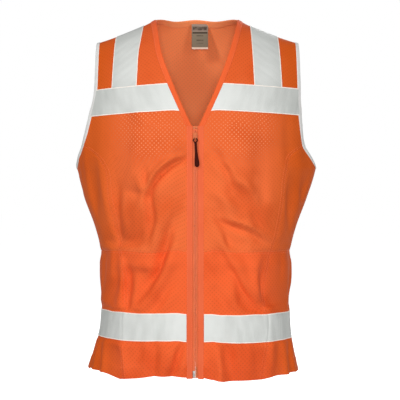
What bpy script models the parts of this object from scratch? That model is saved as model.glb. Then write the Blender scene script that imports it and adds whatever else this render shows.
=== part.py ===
"""High visibility vest, sleeveless and zipped at the front, held up at its shoulders.

Frame: metres, +Z up, +X towards the wearer's left, the front faces -Y. The origin is midway
between the two neck points, where the shoulders carry the vest. Left and right are the wearer's.
"""

import math

import bmesh
import bpy
from mathutils import Matrix, Vector

# ---------------------------------------------------------------- driving dimensions
HEM_Z = -0.660                 # bottom edge of the cloth
PLACKET_HEM_Z = -0.6625        # bottom edge of the facings beside the zip
WAIST_SEAM_Z = -0.4345
V_BOTTOM_Z = -0.2073           # where the neck's V meets the zip
FRONT_DEPTH = 0.130            # centre front to the shoulder plane
SECTION_POWER = 2.2            # 2 is an ellipse, more is squarer

HALF_WIDTHS = ((0.06, 0.2195), (-0.14, 0.2195), (-0.2735, 0.2290), (-0.330, 0.2100),
               (-0.3875, 0.1880), (-0.433, 0.1777), (-0.460, 0.1820), (-0.535, 0.1770),
               (-0.590, 0.1800), (-0.660, 0.2010))
BACK_DEPTHS = ((0.06, 0.105), (-0.18, 0.112), (-0.433, 0.085), (-0.660, 0.118))
PRINCESS_SEAM = ((-0.225, 0.2150), (-0.2375, 0.2060), (-0.260, 0.1810), (-0.285, 0.1690),
                 (-0.340, 0.1590), (-0.400, 0.1460), (-0.4345, 0.1380), (-0.550, 0.1310),
                 (-0.660, 0.1290))

NECK_HALF = 0.080              # centre line to the neck point
SHOULDER_SLOPE = 0.50
SHOULDER_FLATTEN = 1.0         # the slope eases towards the shoulder tip
NECK_RISE = 0.030              # how far the form rises at the nape
NECK_RISE_WIDTH = 0.045
NAPE_DROP = 0.038              # back neck edge, below the form's own top
FRONT_ROUND = 0.20             # height over which the front rounds up to the shoulder
BACK_ROUND = 0.15
BUST_PROUD = 0.014
BUST_CENTRE = (0.085, -0.270)
BUST_SPREAD = (0.050, 0.080)
PLACKET_FLAT = 0.030           # the bust dies out this near the zip

ARMHOLE_ANGLE = math.radians(60.0)      # the straight edge's place round the section
ARMHOLE_TURN_Z = -0.140                 # where the edge starts to curve under the arm
ARMHOLE_CURVE = 0.1335                  # height of that curve
ARMHOLE_BINDING = 0.009
ARMHOLE_BINDING_ANGLE = math.radians(3.5)

NECK_BINDING = 0.012
V_BINDING = 0.013
V_BOTTOM_HALF = 0.0060
V_TOP_HALF = 0.080
V_BOW = 0.008

TAPE_WIDTH = 0.050
CHEST_TAPE_TOP = -0.1315
WAIST_TAPE_TOP = -0.545
SHOULDER_TAPE_IN = (0.1015, 0.1066)     # its inner edge, at the shoulder and at the chest tape

CLOTH = 0.0012                 # thickness of mesh cloth
TAPE = 0.0010
BINDING = 0.0024
TAPE_LAYER = 0.0021            # the tape's middle, above the cloth's middle
SEAM_GAP = 0.0004              # half the clear space between neighbours
SIDE_GAP_ANGLE = math.radians(0.3)
SHOULDER_START = 0.004         # share of the way down at which cloth starts beside a shoulder seam
CLOTH_INSET = 1.15             # cloth starts this many binding widths in from the armhole's edge
NAPE_GAP = 0.0020              # cloth below the back neck binding, cut in straighter steps

CHANNEL_HALF = 0.0047          # facing edge to the centre line
FACING_WIDTH = 0.0108
FACING = 0.0020
ZIP_TAPE = 0.0007
ZIP_TAPE_LAYER = -0.0019
ZIP_TAPE_HALF = 0.0150
COIL_IN, COIL_OUT = 0.0008, 0.0030
COIL_TOP, COIL_BOTTOM = -0.2125, -0.6465
COIL = 0.0022

SLIDER_TOP, SLIDER_BOTTOM = -0.2190, -0.2330
SLIDER_HALF = 0.0042
BAIL_Z = -0.2295
BAIL_HALF = 0.0023
BAIL_WIRE = 0.0006
PULL_LAYER = 0.0041            # middle of the pull, above the cloth's middle
PULL_THICK = 0.0016
EYE_OUTER, EYE_INNER = 0.0044, 0.0024
PULL_LEAN = math.radians(4.0)
GRIP_LENGTH = 0.0480           # eye centre to the tip
SHAFT_HALF, GRIP_HALF = 0.00225, 0.0044

FRONT_HINGE_X = 0.232          # side-seam axis that each front swings about
LABEL_SIZE = (0.032, 0.049)
LABEL_CENTRE_X = 0.0084
LABEL_TOP = (0.0715, -0.0030)  # its sewn edge, (y, z)
LABEL_THICK = 0.0006

ORANGE = (0.80, 0.165, 0.045)
CORAL = (0.90, 0.170, 0.060)
SILVER = (0.62, 0.64, 0.61)
WHITE = (0.80, 0.80, 0.78)
MAROON = (0.060, 0.010, 0.006)
METAL = (0.60, 0.60, 0.58)
GREY = (0.13, 0.105, 0.075)


# ---------------------------------------------------------------- the form under the cloth
def through(stations, z):
    """Smooth curve through (z, value) stations listed from the top down."""
    if z >= stations[0][0]:
        return stations[0][1]
    if z <= stations[-1][0]:
        return stations[-1][1]
    last = len(stations) - 1
    i = next(k for k in range(last) if stations[k + 1][0] <= z)

    def slope(k):
        low, high = max(k - 1, 0), min(k + 1, last)
        return (stations[high][1] - stations[low][1]) / (stations[high][0] - stations[low][0])

    (z0, v0), (z1, v1) = stations[i], stations[i + 1]
    span = z1 - z0
    t = (z - z0) / span
    return ((2 * t**3 - 3 * t**2 + 1) * v0 + (t**3 - 2 * t**2 + t) * span * slope(i)
            + (3 * t**2 - 2 * t**3) * v1 + (t**3 - t**2) * span * slope(i + 1))


def shoulder_height(x):
    """Top of the form at x: the shoulder line, carried on over the neck."""
    out = abs(x) - NECK_HALF
    bend = SHOULDER_FLATTEN if out > 0 else -SHOULDER_SLOPE / (2 * NECK_HALF)
    rise = NECK_RISE * math.exp(-((x / NECK_RISE_WIDTH) ** 2))
    return -SHOULDER_SLOPE * out + bend * out * out + rise


def rounding(x, z, height):
    """0 on the shoulder line and 1 from `height` below it, along a quarter circle."""
    u = min(max((shoulder_height(x) - z) / height, 0.0), 1.0)
    return math.sqrt(1 - (1 - u) ** 2)


def bust(x, z):
    reach = abs(x)
    across = ((reach - BUST_CENTRE[0]) / BUST_SPREAD[0]) ** 2
    along = ((z - BUST_CENTRE[1]) / BUST_SPREAD[1]) ** 2
    return BUST_PROUD * math.exp(-across - along) * (1 - math.exp(-((reach / PLACKET_FLAT) ** 2)))


def on_form(angle, z):
    """Point on the form: angle 0 is the centre front, 90 degrees the left side, 180 the back."""
    share = 2 / SECTION_POWER
    x = math.copysign(through(HALF_WIDTHS, z) * abs(math.sin(angle)) ** share, math.sin(angle))
    forward = abs(math.cos(angle)) ** share
    if math.cos(angle) > 0:
        y = -FRONT_DEPTH * forward * rounding(x, z, FRONT_ROUND) - bust(x, z) * forward
    else:
        y = through(BACK_DEPTHS, z) * forward * rounding(x, z, BACK_ROUND)
    return Vector((x, y, z))


def angle_at(x, z, back=False):
    """The angle at which the section at height z is x wide."""
    ratio = min(abs(x) / through(HALF_WIDTHS, z), 1.0)
    angle = math.asin(ratio ** (SECTION_POWER / 2))
    if back:
        angle = math.pi - angle
    return math.copysign(angle, x)


def at_x(x, z, back=False):
    return on_form(angle_at(x, z, back), z)


def mix(a, b, t):
    return a + (b - a) * t


def ease(t):
    """Starts gently, as cloth that leaves the shoulder line has to."""
    return 1 - math.cos(math.pi / 2 * t)


def below_shoulder(x_at, down, bottom, top=shoulder_height):
    """x and z of a point `down` of the way from the top line to `bottom`, where x follows z."""
    z = bottom * down
    for _ in range(20):
        x = x_at(z)
        z = mix(top(x), bottom, down)
    return x, z


# ---------------------------------------------------------------- edges of the pattern
def v_edge(z):
    t = min(max(z / V_BOTTOM_Z, 0.0), 1.0)
    return mix(V_TOP_HALF, V_BOTTOM_HALF, t) + V_BOW * math.sin(math.pi * t)


def princess_x(z):
    return through(PRINCESS_SEAM, z)


def armhole_start(inset):
    """Angle of the armhole's straight edge; inset 0 is the edge, 1 the binding's inner side."""
    return ARMHOLE_ANGLE - ARMHOLE_BINDING_ANGLE * inset


def armhole_curve(turn, inset):
    """Angle and height on the curve under the arm; turn 0 is its start, 90 degrees the side seam."""
    start = armhole_start(inset)
    angle = start + (math.pi / 2 - start) * (1 - math.cos(turn))
    return angle, ARMHOLE_TURN_Z - (ARMHOLE_CURVE + ARMHOLE_BINDING * inset) * math.sin(turn)


def turn_at(z, inset):
    drop = (ARMHOLE_TURN_Z - z) / (ARMHOLE_CURVE + ARMHOLE_BINDING * inset)
    return math.asin(min(max(drop, 0.0), 1.0))


def cloth_edge_angle(z):
    """Outer edge of the cloth: beside the armhole binding, then at the side seam."""
    return armhole_curve(turn_at(z, CLOTH_INSET), CLOTH_INSET)[0] - SIDE_GAP_ANGLE


def nape_line(x, half, drop):
    """Height of a line that runs round the back of the neck from x = -half to x = half."""
    return shoulder_height(x) - drop * max(1 - (x / half) ** 2, 0.0) ** 1.9


# ---------------------------------------------------------------- making objects
def collection(name):
    made = bpy.data.collections.new(name)
    bpy.context.scene.collection.children.link(made)
    return made


def finish(name, colour, roughness, metallic=0.0):
    material = bpy.data.materials.new(name)
    material.use_nodes = True
    shader = material.node_tree.nodes["Principled BSDF"]
    shader.inputs["Base Color"].default_value = (*colour, 1.0)
    shader.inputs["Roughness"].default_value = roughness
    shader.inputs["Metallic"].default_value = metallic
    material.diffuse_color = (*colour, 1.0)
    return material


def pivot(name, place):
    """Empty on a joint's axis, parent of the pieces that turn or slide with it."""
    empty = bpy.data.objects.new(name, None)
    empty.location = place
    empty.empty_display_size = 0.02
    PARTS.objects.link(empty)
    return empty


def adopt(obj, parent, group=None):
    """Link obj and hang it on its joint's empty without moving it in the world."""
    (group or PARTS).objects.link(obj)
    if parent:
        obj.parent = parent
        obj.matrix_parent_inverse = Matrix.Translation(-parent.location)
    return obj


def outward(point):
    middle = Vector((0.0, 0.0, HEM_Z / 2))
    return (point - middle).normalized()


def lifted(point_at, u, v, layer):
    """Point of the surface at (u, v), moved out by `layer` along its own normal."""
    step = 0.004
    here = point_at(u, v)
    along = point_at(min(u + step, 1), v) - point_at(max(u - step, 0), v)
    down = point_at(u, min(v + step, 1)) - point_at(u, max(v - step, 0))
    normal = along.cross(down).normalized()
    if normal.dot(outward(here)) < 0:
        normal.negate()
    return here + normal * layer


def sheet(name, point_at, columns, rows, material, thick=CLOTH, layer=0.0, parent=None):
    """A cloth piece: a grid laid on the form by point_at(u, v), with its thickness."""
    mesh = bpy.data.meshes.new(name)
    grid = bmesh.new()
    bmesh.ops.create_grid(grid, x_segments=columns, y_segments=rows, size=0.5)
    for vert in grid.verts:
        vert.co = lifted(point_at, vert.co.x + 0.5, vert.co.y + 0.5, layer)
    facing = sum(face.normal.dot(outward(face.calc_center_median())) * face.calc_area()
                 for face in recalculated(grid))
    if facing < 0:
        bmesh.ops.reverse_faces(grid, faces=grid.faces)
    grid.to_mesh(mesh)
    grid.free()
    mesh.materials.append(material)
    mesh.shade_smooth()
    obj = adopt(bpy.data.objects.new(name, mesh), parent)
    shell = obj.modifiers.new("thickness", "SOLIDIFY")
    shell.thickness = thick
    shell.offset = 0.0
    shell.use_even_offset = True
    return obj


def recalculated(grid):
    grid.normal_update()
    return grid.faces


def block(name, low, high, material, bevel=0.0, parent=None, group=None):
    """A box between two corners, its edges rounded by `bevel`."""
    low, high = Vector(low), Vector(high)
    mesh = bpy.data.meshes.new(name)
    shape = bmesh.new()
    bmesh.ops.create_cube(shape, size=1.0)
    size = high - low
    bmesh.ops.scale(shape, vec=size, verts=shape.verts)
    bmesh.ops.translate(shape, vec=(low + high) / 2, verts=shape.verts)
    shape.to_mesh(mesh)
    shape.free()
    mesh.materials.append(material)
    obj = adopt(bpy.data.objects.new(name, mesh), parent, group)
    if bevel:
        edge = obj.modifiers.new("edges", "BEVEL")
        edge.width = bevel
        edge.segments = 2
    return obj


def joined(base, others):
    """Union each of `others` into base, and leave them as hidden cutters."""
    for other in others:
        other.hide_render = True
        other.display_type = "WIRE"
        union = base.modifiers.new(other.name, "BOOLEAN")
        union.operation = "UNION"
        union.solver = "EXACT"
        union.object = other
    return base


# ---------------------------------------------------------------- cloth panels
def back_panels(orange):
    seam = SEAM_GAP
    level = ARMHOLE_TURN_Z
    underarm = armhole_curve(math.pi / 2, CLOTH_INSET)[1]

    def upper(u, v):
        spread = 2 * u - 1
        if v < 0.5:
            down = ease(max(v * 2, SHOULDER_START))

            def x_at(z):
                return through(HALF_WIDTHS, z) * math.sin(
                    abs(spread) * cloth_edge_angle(z)) ** (2 / SECTION_POWER)

            def top(x):
                below = NECK_BINDING + NAPE_GAP
                return nape_line(x, NECK_HALF + below, NAPE_DROP + below)

            _, z = below_shoulder(x_at, down, level, top)
        elif v < 0.75:
            turn = (v - 0.5) / 0.25 * math.pi / 2
            z = armhole_curve(turn, CLOTH_INSET)[1]
        else:
            z = mix(underarm, WAIST_SEAM_Z + seam, (v - 0.75) / 0.25)
        return on_form(math.pi - spread * cloth_edge_angle(z), z)

    def lower(u, v):
        z = mix(WAIST_SEAM_Z - seam, HEM_Z, v)
        return on_form(math.pi - (2 * u - 1) * cloth_edge_angle(z), z)

    sheet("back_upper_panel", upper, 24, 28, orange)
    sheet("back_lower_panel", lower, 16, 6, orange)


def front_panels(side, sign, hinge, orange):
    """One front: the yoke stays at the shoulder, the four panels below it swing together."""
    seam = SEAM_GAP
    inner = CHANNEL_HALF + FACING_WIDTH + 2 * seam

    def yoke(u, v):
        def x_at(z):
            near = v_edge(z) + V_BINDING + 2 * seam
            far = abs(on_form(cloth_edge_angle(z), z).x)
            return mix(near, far, u)
        x, z = below_shoulder(x_at, ease(max(v, SHOULDER_START)), V_BOTTOM_Z)
        return at_x(sign * x, z)

    def centre(height_at):
        def point(u, v):
            z = height_at(v)
            edge = min(angle_at(princess_x(z) - seam, z), cloth_edge_angle(z))
            return on_form(sign * mix(angle_at(inner, z), edge, u), z)
        return point

    def outer(height_at):
        def point(u, v):
            z = height_at(v)
            start = angle_at(princess_x(z) + seam, z)
            return on_form(sign * mix(start, cloth_edge_angle(z), u), z)
        return point

    join = PRINCESS_SEAM[1][0] - seam
    underarm = armhole_curve(math.pi / 2, CLOTH_INSET)[1]

    def beside_seam(v):
        """Heights of the rows that the centre and side panels share along the princess seam."""
        if v < 0.5:
            turn = mix(turn_at(join, CLOTH_INSET), math.pi / 2, v * 2)
            return armhole_curve(turn, CLOTH_INSET)[1]
        return mix(underarm, WAIST_SEAM_Z + seam, v * 2 - 1)

    def centre_rows(v):
        if v < 0.2:
            return mix(V_BOTTOM_Z - 2 * seam, join, v * 5)
        return beside_seam((v - 0.2) / 0.8)

    def lower_rows(v):
        return mix(WAIST_SEAM_Z - seam, HEM_Z, v)

    sheet(f"{side}_front_yoke", yoke, 6, 9, orange)
    sheet(f"{side}_front_upper_panel", centre(centre_rows), 8, 15, orange, parent=hinge)
    sheet(f"{side}_front_lower_panel", centre(lower_rows), 7, 6, orange, parent=hinge)
    sheet(f"{side}_side_upper_panel", outer(beside_seam), 4, 12, orange, parent=hinge)
    sheet(f"{side}_side_lower_panel", outer(lower_rows), 4, 6, orange, parent=hinge)


# ---------------------------------------------------------------- reflective tape
def shoulder_tape(side, sign, silver):
    bottom = CHEST_TAPE_TOP + 2 * SEAM_GAP

    def point(u, v):
        way = 2 * v - 1

        def x_at(z):
            inner = mix(*SHOULDER_TAPE_IN, min(max(z / bottom, 0.0), 1.0))
            return inner + TAPE_WIDTH * u
        x, z = below_shoulder(x_at, ease(abs(way)), bottom)
        return at_x(sign * x, z, back=way < 0)

    sheet(f"{side}_shoulder_tape", point, 2, 18, silver, TAPE, TAPE_LAYER)


def chest_tape(side, sign, silver):
    def point(u, v):
        z = CHEST_TAPE_TOP - TAPE_WIDTH * v
        near = angle_at(v_edge(z) + V_BINDING + 2 * SEAM_GAP, z)
        return on_form(sign * mix(near, cloth_edge_angle(z), u), z)

    sheet(f"{side}_chest_tape", point, 8, 2, silver, TAPE, TAPE_LAYER)


def waist_tapes(side, sign, hinge, silver):
    def centre(u, v):
        z = WAIST_TAPE_TOP - TAPE_WIDTH * v
        near = angle_at(CHANNEL_HALF + FACING_WIDTH + 2 * SEAM_GAP, z)
        return on_form(sign * mix(near, angle_at(princess_x(z) - SEAM_GAP, z), u), z)

    def outer(u, v):
        z = WAIST_TAPE_TOP - TAPE_WIDTH * v
        near = angle_at(princess_x(z) + SEAM_GAP, z)
        return on_form(sign * mix(near, cloth_edge_angle(z), u), z)

    sheet(f"{side}_waist_tape", centre, 7, 2, silver, TAPE, TAPE_LAYER, hinge)
    sheet(f"{side}_side_waist_tape", outer, 4, 2, silver, TAPE, TAPE_LAYER, hinge)


def back_tapes(silver):
    def band(top):
        def point(u, v):
            z = top - TAPE_WIDTH * v
            return on_form(math.pi - (2 * u - 1) * cloth_edge_angle(z), z)
        return point

    sheet("back_chest_tape", band(CHEST_TAPE_TOP), 14, 2, silver, TAPE, TAPE_LAYER)
    sheet("back_waist_tape", band(WAIST_TAPE_TOP), 16, 2, silver, TAPE, TAPE_LAYER)


# ---------------------------------------------------------------- bindings
def neck_bindings(coral):
    def nape(u, v):
        reach = math.sin(math.pi / 2 * (2 * v - 1) * (1 - SHOULDER_START))
        half = NECK_HALF + NECK_BINDING * u
        x = half * reach
        return at_x(x, nape_line(x, half, NAPE_DROP + NECK_BINDING * u), back=True)

    sheet("back_neck_binding", nape, 2, 18, coral, BINDING)
    for side, sign in SIDES:
        def edge(u, v, sign=sign):
            x, z = below_shoulder(lambda z: v_edge(z) + V_BINDING * u,
                                  ease(max(v, SHOULDER_START)), V_BOTTOM_Z)
            return at_x(sign * x, z)
        sheet(f"{side}_neck_binding", edge, 2, 12, coral, BINDING)


def armhole_bindings(side, sign, hinge, white):
    """The long strip runs from the underarm up the back and down the front to the V's level."""
    def point(turn, straight, inset, back):
        if straight is None:
            angle, z = armhole_curve(turn, inset)
        else:
            angle = armhole_start(inset)

            def x_at(z):
                return abs(on_form(angle, z).x)
            _, z = below_shoulder(x_at, ease(straight), ARMHOLE_TURN_Z)
        if back:
            angle = math.pi - angle
        return on_form(sign * angle, z)

    seam_turn = math.pi / 2 - SIDE_GAP_ANGLE * 6

    def around(u, v):
        if v < 0.35:
            return point(mix(seam_turn, 0.0, v / 0.35), None, u, True)
        if v < 0.6:
            return point(0.0, mix(1.0, 0.0, (v - 0.35) / 0.25), u, True)
        if v < 0.85:
            return point(0.0, (v - 0.6) / 0.25, u, False)
        return point(turn_at(V_BOTTOM_Z, u) * (v - 0.85) / 0.15, None, u, False)

    def under(u, v):
        begin = turn_at(V_BOTTOM_Z - 2 * SEAM_GAP, u)
        return point(mix(begin, seam_turn, v), None, u, False)

    sheet(f"{side}_armhole_binding", around, 2, 40, white, BINDING)
    sheet(f"{side}_underarm_binding", under, 2, 12, white, BINDING, parent=hinge)


# ---------------------------------------------------------------- zip
def y_at(layer):
    return -(FRONT_DEPTH + layer)


def strip(name, sign, x_range, z_range, layers, material, parent, bevel=0.0):
    """A straight upright bar beside the zip, on the side given by sign."""
    xs = sorted(sign * x for x in x_range)
    ys = sorted(y_at(layer) for layer in layers)
    low = (xs[0], ys[0], min(z_range))
    high = (xs[1], ys[1], max(z_range))
    return block(name, low, high, material, bevel, parent)


def zip_sides(side, sign, hinge, finishes):
    half = FACING / 2
    facing_x = (CHANNEL_HALF, CHANNEL_HALF + FACING_WIDTH)
    strip(f"{side}_facing", sign, facing_x, (V_BOTTOM_Z - 2 * SEAM_GAP, PLACKET_HEM_Z),
          (-half, half), finishes["coral"], hinge)
    tape_layers = (ZIP_TAPE_LAYER - ZIP_TAPE / 2, ZIP_TAPE_LAYER + ZIP_TAPE / 2)
    strip(f"{side}_zip_tape", sign, (COIL_IN, ZIP_TAPE_HALF), (V_BOTTOM_Z - 2 * SEAM_GAP, HEM_Z),
          tape_layers, finishes["zip"], hinge)
    coil_end = COIL_BOTTOM if sign < 0 else COIL_BOTTOM + 0.0075
    coil_layers = (-COIL / 2 - 0.0001, COIL / 2 - 0.0001)
    strip(f"{side}_zip_coil", sign, (COIL_IN, COIL_OUT), (COIL_TOP, coil_end),
          coil_layers, finishes["zip"], hinge)
    strip(f"{side}_top_stop", sign, (COIL_IN, COIL_OUT + 0.0006), (COIL_TOP + 0.0040, COIL_TOP + 0.0004),
          (-COIL / 2, COIL / 2 + 0.0003), finishes["metal"], hinge, 0.0003)


def zip_ends(right_hinge, left_hinge, metal):
    end = HEM_Z + 0.0015
    strip("zip_retainer_box", -1, (0.0004, CHANNEL_HALF - 0.0003), (COIL_BOTTOM - 0.0005, end),
          (-COIL / 2, COIL / 2 + 0.0008), metal, right_hinge, 0.0004)
    strip("zip_insertion_pin", 1, (COIL_IN, COIL_OUT), (COIL_BOTTOM + 0.0070, end),
          (-COIL / 2, COIL / 2), metal, left_hinge, 0.0004)


def zip_slider(parent, coral):
    """Two plates on a thin web that runs between the chains, with a bail over the outer plate."""
    outer = (0.0014, 0.0026)
    inner = (-0.0040, -0.0028)
    web_half = 0.0004
    flange_in = 0.0036

    def part(name, x0, x1, z0, z1, layers):
        ys = sorted(y_at(layer) for layer in layers)
        return block(name, (x0, ys[0], z0), (x1, ys[1], z1), coral, parent=parent, group=CUTTERS)

    body = block("zip_slider", (-SLIDER_HALF, y_at(outer[1]), SLIDER_BOTTOM),
                 (SLIDER_HALF, y_at(outer[0]), SLIDER_TOP), coral, parent=parent)
    web = part("slider_web", -web_half, web_half, SLIDER_TOP - 0.0045, SLIDER_TOP - 0.0008,
               (inner[1] - 0.0003, outer[0] + 0.0003))
    back = part("slider_back_plate", -SLIDER_HALF, SLIDER_HALF, SLIDER_BOTTOM, SLIDER_TOP, inner)
    flanges = [part(f"slider_flange_{name}", *sorted((sign * flange_in, sign * SLIDER_HALF)),
                    SLIDER_BOTTOM, SLIDER_TOP, (-0.0009, outer[0] + 0.0003))
               for name, sign in SIDES]
    return joined(body, [web, back, *flanges, bail(parent, coral, outer[1])])


def bail(parent, coral, plate_layer):
    """Arched wire over the outer plate, turned from a curve into a mesh so that it can join."""
    curve = bpy.data.curves.new("slider_bail", "CURVE")
    curve.dimensions = "3D"
    curve.bevel_depth = BAIL_WIRE
    curve.bevel_resolution = 2
    curve.use_fill_caps = True
    steps = 8
    foot = plate_layer - 0.0006
    crown = PULL_LAYER + 0.0021 - BAIL_HALF
    points = [(foot, -BAIL_HALF)]
    points += [(crown + BAIL_HALF * math.sin(math.pi * k / steps),
                -BAIL_HALF * math.cos(math.pi * k / steps)) for k in range(steps + 1)]
    points.append((foot, BAIL_HALF))
    line = curve.splines.new("POLY")
    line.points.add(len(points) - 1)
    for point, (layer, z) in zip(line.points, points):
        point.co = (0.0, y_at(layer), BAIL_Z + z, 1.0)
    wire = bpy.data.objects.new("slider_bail_curve", curve)
    CUTTERS.objects.link(wire)
    bpy.context.view_layer.update()
    mesh = bpy.data.meshes.new_from_object(wire.evaluated_get(bpy.context.evaluated_depsgraph_get()))
    bpy.data.objects.remove(wire)
    shape = bmesh.new()
    shape.from_mesh(mesh)
    bmesh.ops.remove_doubles(shape, verts=shape.verts, dist=0.00001)
    bmesh.ops.recalc_face_normals(shape, faces=shape.faces)
    shape.to_mesh(mesh)
    shape.free()
    mesh.materials.clear()
    mesh.materials.append(coral)
    return adopt(bpy.data.objects.new("slider_bail", mesh), parent, CUTTERS)


def pull_outline():
    """Closed outline of the pull in its own plane: eye, waist, and a grip with a round end."""
    neck_turn = math.asin(SHAFT_HALF / EYE_OUTER)
    arc_steps, flare_steps, end_steps = 14, 5, 8
    right = []
    for k in range(arc_steps + 1):
        turn = mix(math.pi / 2, -math.pi / 2 + neck_turn, k / arc_steps)
        right.append((EYE_OUTER * math.cos(turn), EYE_OUTER * math.sin(turn)))
    shaft_end, wide_at = -0.0195, -(GRIP_LENGTH - GRIP_HALF)
    for k in range(flare_steps + 1):
        t = k / flare_steps
        smooth = t * t * (3 - 2 * t)
        right.append((mix(SHAFT_HALF, GRIP_HALF, smooth), mix(shaft_end, wide_at, t)))
    for k in range(1, end_steps):
        turn = math.pi / 2 * k / end_steps
        right.append((GRIP_HALF * math.cos(turn), wide_at - GRIP_HALF * math.sin(turn)))
    tip = [(0.0, -GRIP_LENGTH)]
    left = [(-x, z) for x, z in reversed(right[1:])]
    return right + tip + left


def zip_pull(parent, maroon):
    """Moulded pull, hanging from the bail by its eye and leaning a little to one side."""
    curve = bpy.data.curves.new("zip_pull", "CURVE")
    curve.dimensions = "2D"
    curve.fill_mode = "BOTH"
    curve.bevel_depth = 0.0004
    curve.bevel_resolution = 1
    curve.offset = -0.0004
    curve.extrude = PULL_THICK / 2 - curve.bevel_depth
    steps = 16
    hole = [(EYE_INNER * math.cos(2 * math.pi * k / steps),
             EYE_INNER * math.sin(2 * math.pi * k / steps)) for k in range(steps)]
    for outline in (pull_outline(), hole):
        line = curve.splines.new("POLY")
        line.points.add(len(outline) - 1)
        for point, (x, z) in zip(line.points, outline):
            point.co = (x, z, 0.0, 1.0)
        line.use_cyclic_u = True
    curve.materials.append(maroon)
    obj = bpy.data.objects.new("zip_pull", curve)
    PARTS.objects.link(obj)
    obj.parent = parent
    eye_drop = (EYE_OUTER + EYE_INNER) / 2
    obj.matrix_local = (Matrix.Rotation(-PULL_LEAN, 4, "Y") @ Matrix.Translation((0, 0, -eye_drop))
                        @ Matrix.Rotation(math.pi / 2, 4, "X"))
    return obj


def care_label(parent, grey):
    y, z = LABEL_TOP
    half = LABEL_SIZE[0] / 2
    return block("care_label", (LABEL_CENTRE_X - half, y - LABEL_THICK / 2, z - LABEL_SIZE[1]),
                 (LABEL_CENTRE_X + half, y + LABEL_THICK / 2, z), grey, parent=parent)


def build():
    orange = finish("orange_mesh", ORANGE, 0.85)
    coral = finish("coral_binding", CORAL, 0.75)
    silver = finish("reflective_tape", SILVER, 0.55)
    white = finish("armhole_binding", WHITE, 0.60)
    maroon = finish("pull_rubber", MAROON, 0.45)
    metal = finish("zip_metal", METAL, 0.35, 1.0)
    slider_paint = finish("slider_paint", CORAL, 0.35)
    zip_cloth = finish("zip_cloth", ORANGE, 0.80)
    grey = finish("care_label", GREY, 0.70)
    hinges = {side: pivot(f"{side}_front_hinge", (sign * FRONT_HINGE_X, 0.0, WAIST_SEAM_Z))
              for side, sign in SIDES}
    back_panels(orange)
    back_tapes(silver)
    neck_bindings(coral)
    for side, sign in SIDES:
        front_panels(side, sign, hinges[side], orange)
        shoulder_tape(side, sign, silver)
        chest_tape(side, sign, silver)
        waist_tapes(side, sign, hinges[side], silver)
        armhole_bindings(side, sign, hinges[side], white)
        zip_sides(side, sign, hinges[side], {"coral": coral, "zip": zip_cloth, "metal": metal})
    zip_ends(hinges["right"], hinges["left"], metal)
    slide = pivot("slider_track", (0.0, y_at(0.0), (SLIDER_TOP + SLIDER_BOTTOM) / 2))
    zip_slider(slide, slider_paint)
    zip_pull(pivot("pull_axis", (0.0, y_at(PULL_LAYER), BAIL_Z)), maroon)
    care_label(pivot("label_seam", (LABEL_CENTRE_X, *LABEL_TOP)), grey)


SIDES = (("right", -1), ("left", 1))

for old in list(bpy.data.objects):
    bpy.data.objects.remove(old)
PARTS = collection("high_visibility_vest")
CUTTERS = collection("cutters")
build()
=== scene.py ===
"""High visibility vest: the finished look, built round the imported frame.

The cloth lies on a form, which is the wearer's shape. Every panel, tape and binding is a patch of
one draped surface, so neighbours share their folds and meet at their seams. Left and right are the
wearer's; +X is the wearer's left, the front faces -Y and the origin is between the neck points.
"""

import logging
import math
from dataclasses import dataclass, field
from enum import Enum
from typing import Any, Callable, Sequence

import bmesh
import bpy
import numpy as np
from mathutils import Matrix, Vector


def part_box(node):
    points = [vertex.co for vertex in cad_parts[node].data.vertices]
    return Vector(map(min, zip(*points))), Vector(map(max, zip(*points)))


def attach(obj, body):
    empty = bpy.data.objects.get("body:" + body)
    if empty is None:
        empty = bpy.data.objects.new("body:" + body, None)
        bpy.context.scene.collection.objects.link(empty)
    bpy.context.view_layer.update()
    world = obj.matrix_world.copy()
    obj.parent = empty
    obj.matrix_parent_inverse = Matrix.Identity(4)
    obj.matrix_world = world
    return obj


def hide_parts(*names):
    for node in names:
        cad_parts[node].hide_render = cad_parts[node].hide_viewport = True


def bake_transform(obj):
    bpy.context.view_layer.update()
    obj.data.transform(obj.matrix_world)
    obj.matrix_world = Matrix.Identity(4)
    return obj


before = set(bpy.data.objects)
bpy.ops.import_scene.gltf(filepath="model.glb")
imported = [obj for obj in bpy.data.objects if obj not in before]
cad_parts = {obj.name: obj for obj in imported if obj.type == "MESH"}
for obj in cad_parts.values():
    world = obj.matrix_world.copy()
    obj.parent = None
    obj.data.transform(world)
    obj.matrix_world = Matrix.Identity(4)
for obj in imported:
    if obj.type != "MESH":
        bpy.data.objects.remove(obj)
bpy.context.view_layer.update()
LOG = logging.getLogger("vest")

Array = np.ndarray
Colour = tuple[float, float, float, float]
Band = tuple[float, float]                     # an effect grows from nothing at the first to full
PointAt = Callable[[Array, Array], Array]      # a patch of cloth: u and v in 0..1 to points
ByHeight = Callable[[Array], Array]            # an edge: heights to half-widths or angles


def top_of(node: str) -> float:
    """Height of the highest point of a CAD node."""
    return float(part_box(node)[1][2])


def foot_of(node: str) -> float:
    """Height of the lowest point of a CAD node."""
    return float(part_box(node)[0][2])


HEM_Z = foot_of("back_lower_panel")
PLACKET_HEM_Z = foot_of("left_facing")
WAIST_SEAM_Z = (foot_of("left_front_upper_panel") + top_of("left_front_lower_panel")) / 2
V_BOTTOM_Z = foot_of("left_neck_binding")
TAPE_WIDTH = 0.050
BOX_SLACK = 0.0002             # a tape's box reaches this far above its edge
TAPES_APART = 0.4135           # top of the waist tape to top of the chest tape
WAIST_TAPE_TOP = top_of("left_waist_tape") - BOX_SLACK
CHEST_TAPE_TOP = WAIST_TAPE_TOP + TAPES_APART
SEAM = -0.00015                # half the clear space between two pieces sewn together: they lap
LOOK = "_look"                 # ends the name of a piece that stands for the CAD node before it
HANG_ROUNDS = 24               # rounds in which hang() settles its heights


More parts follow.
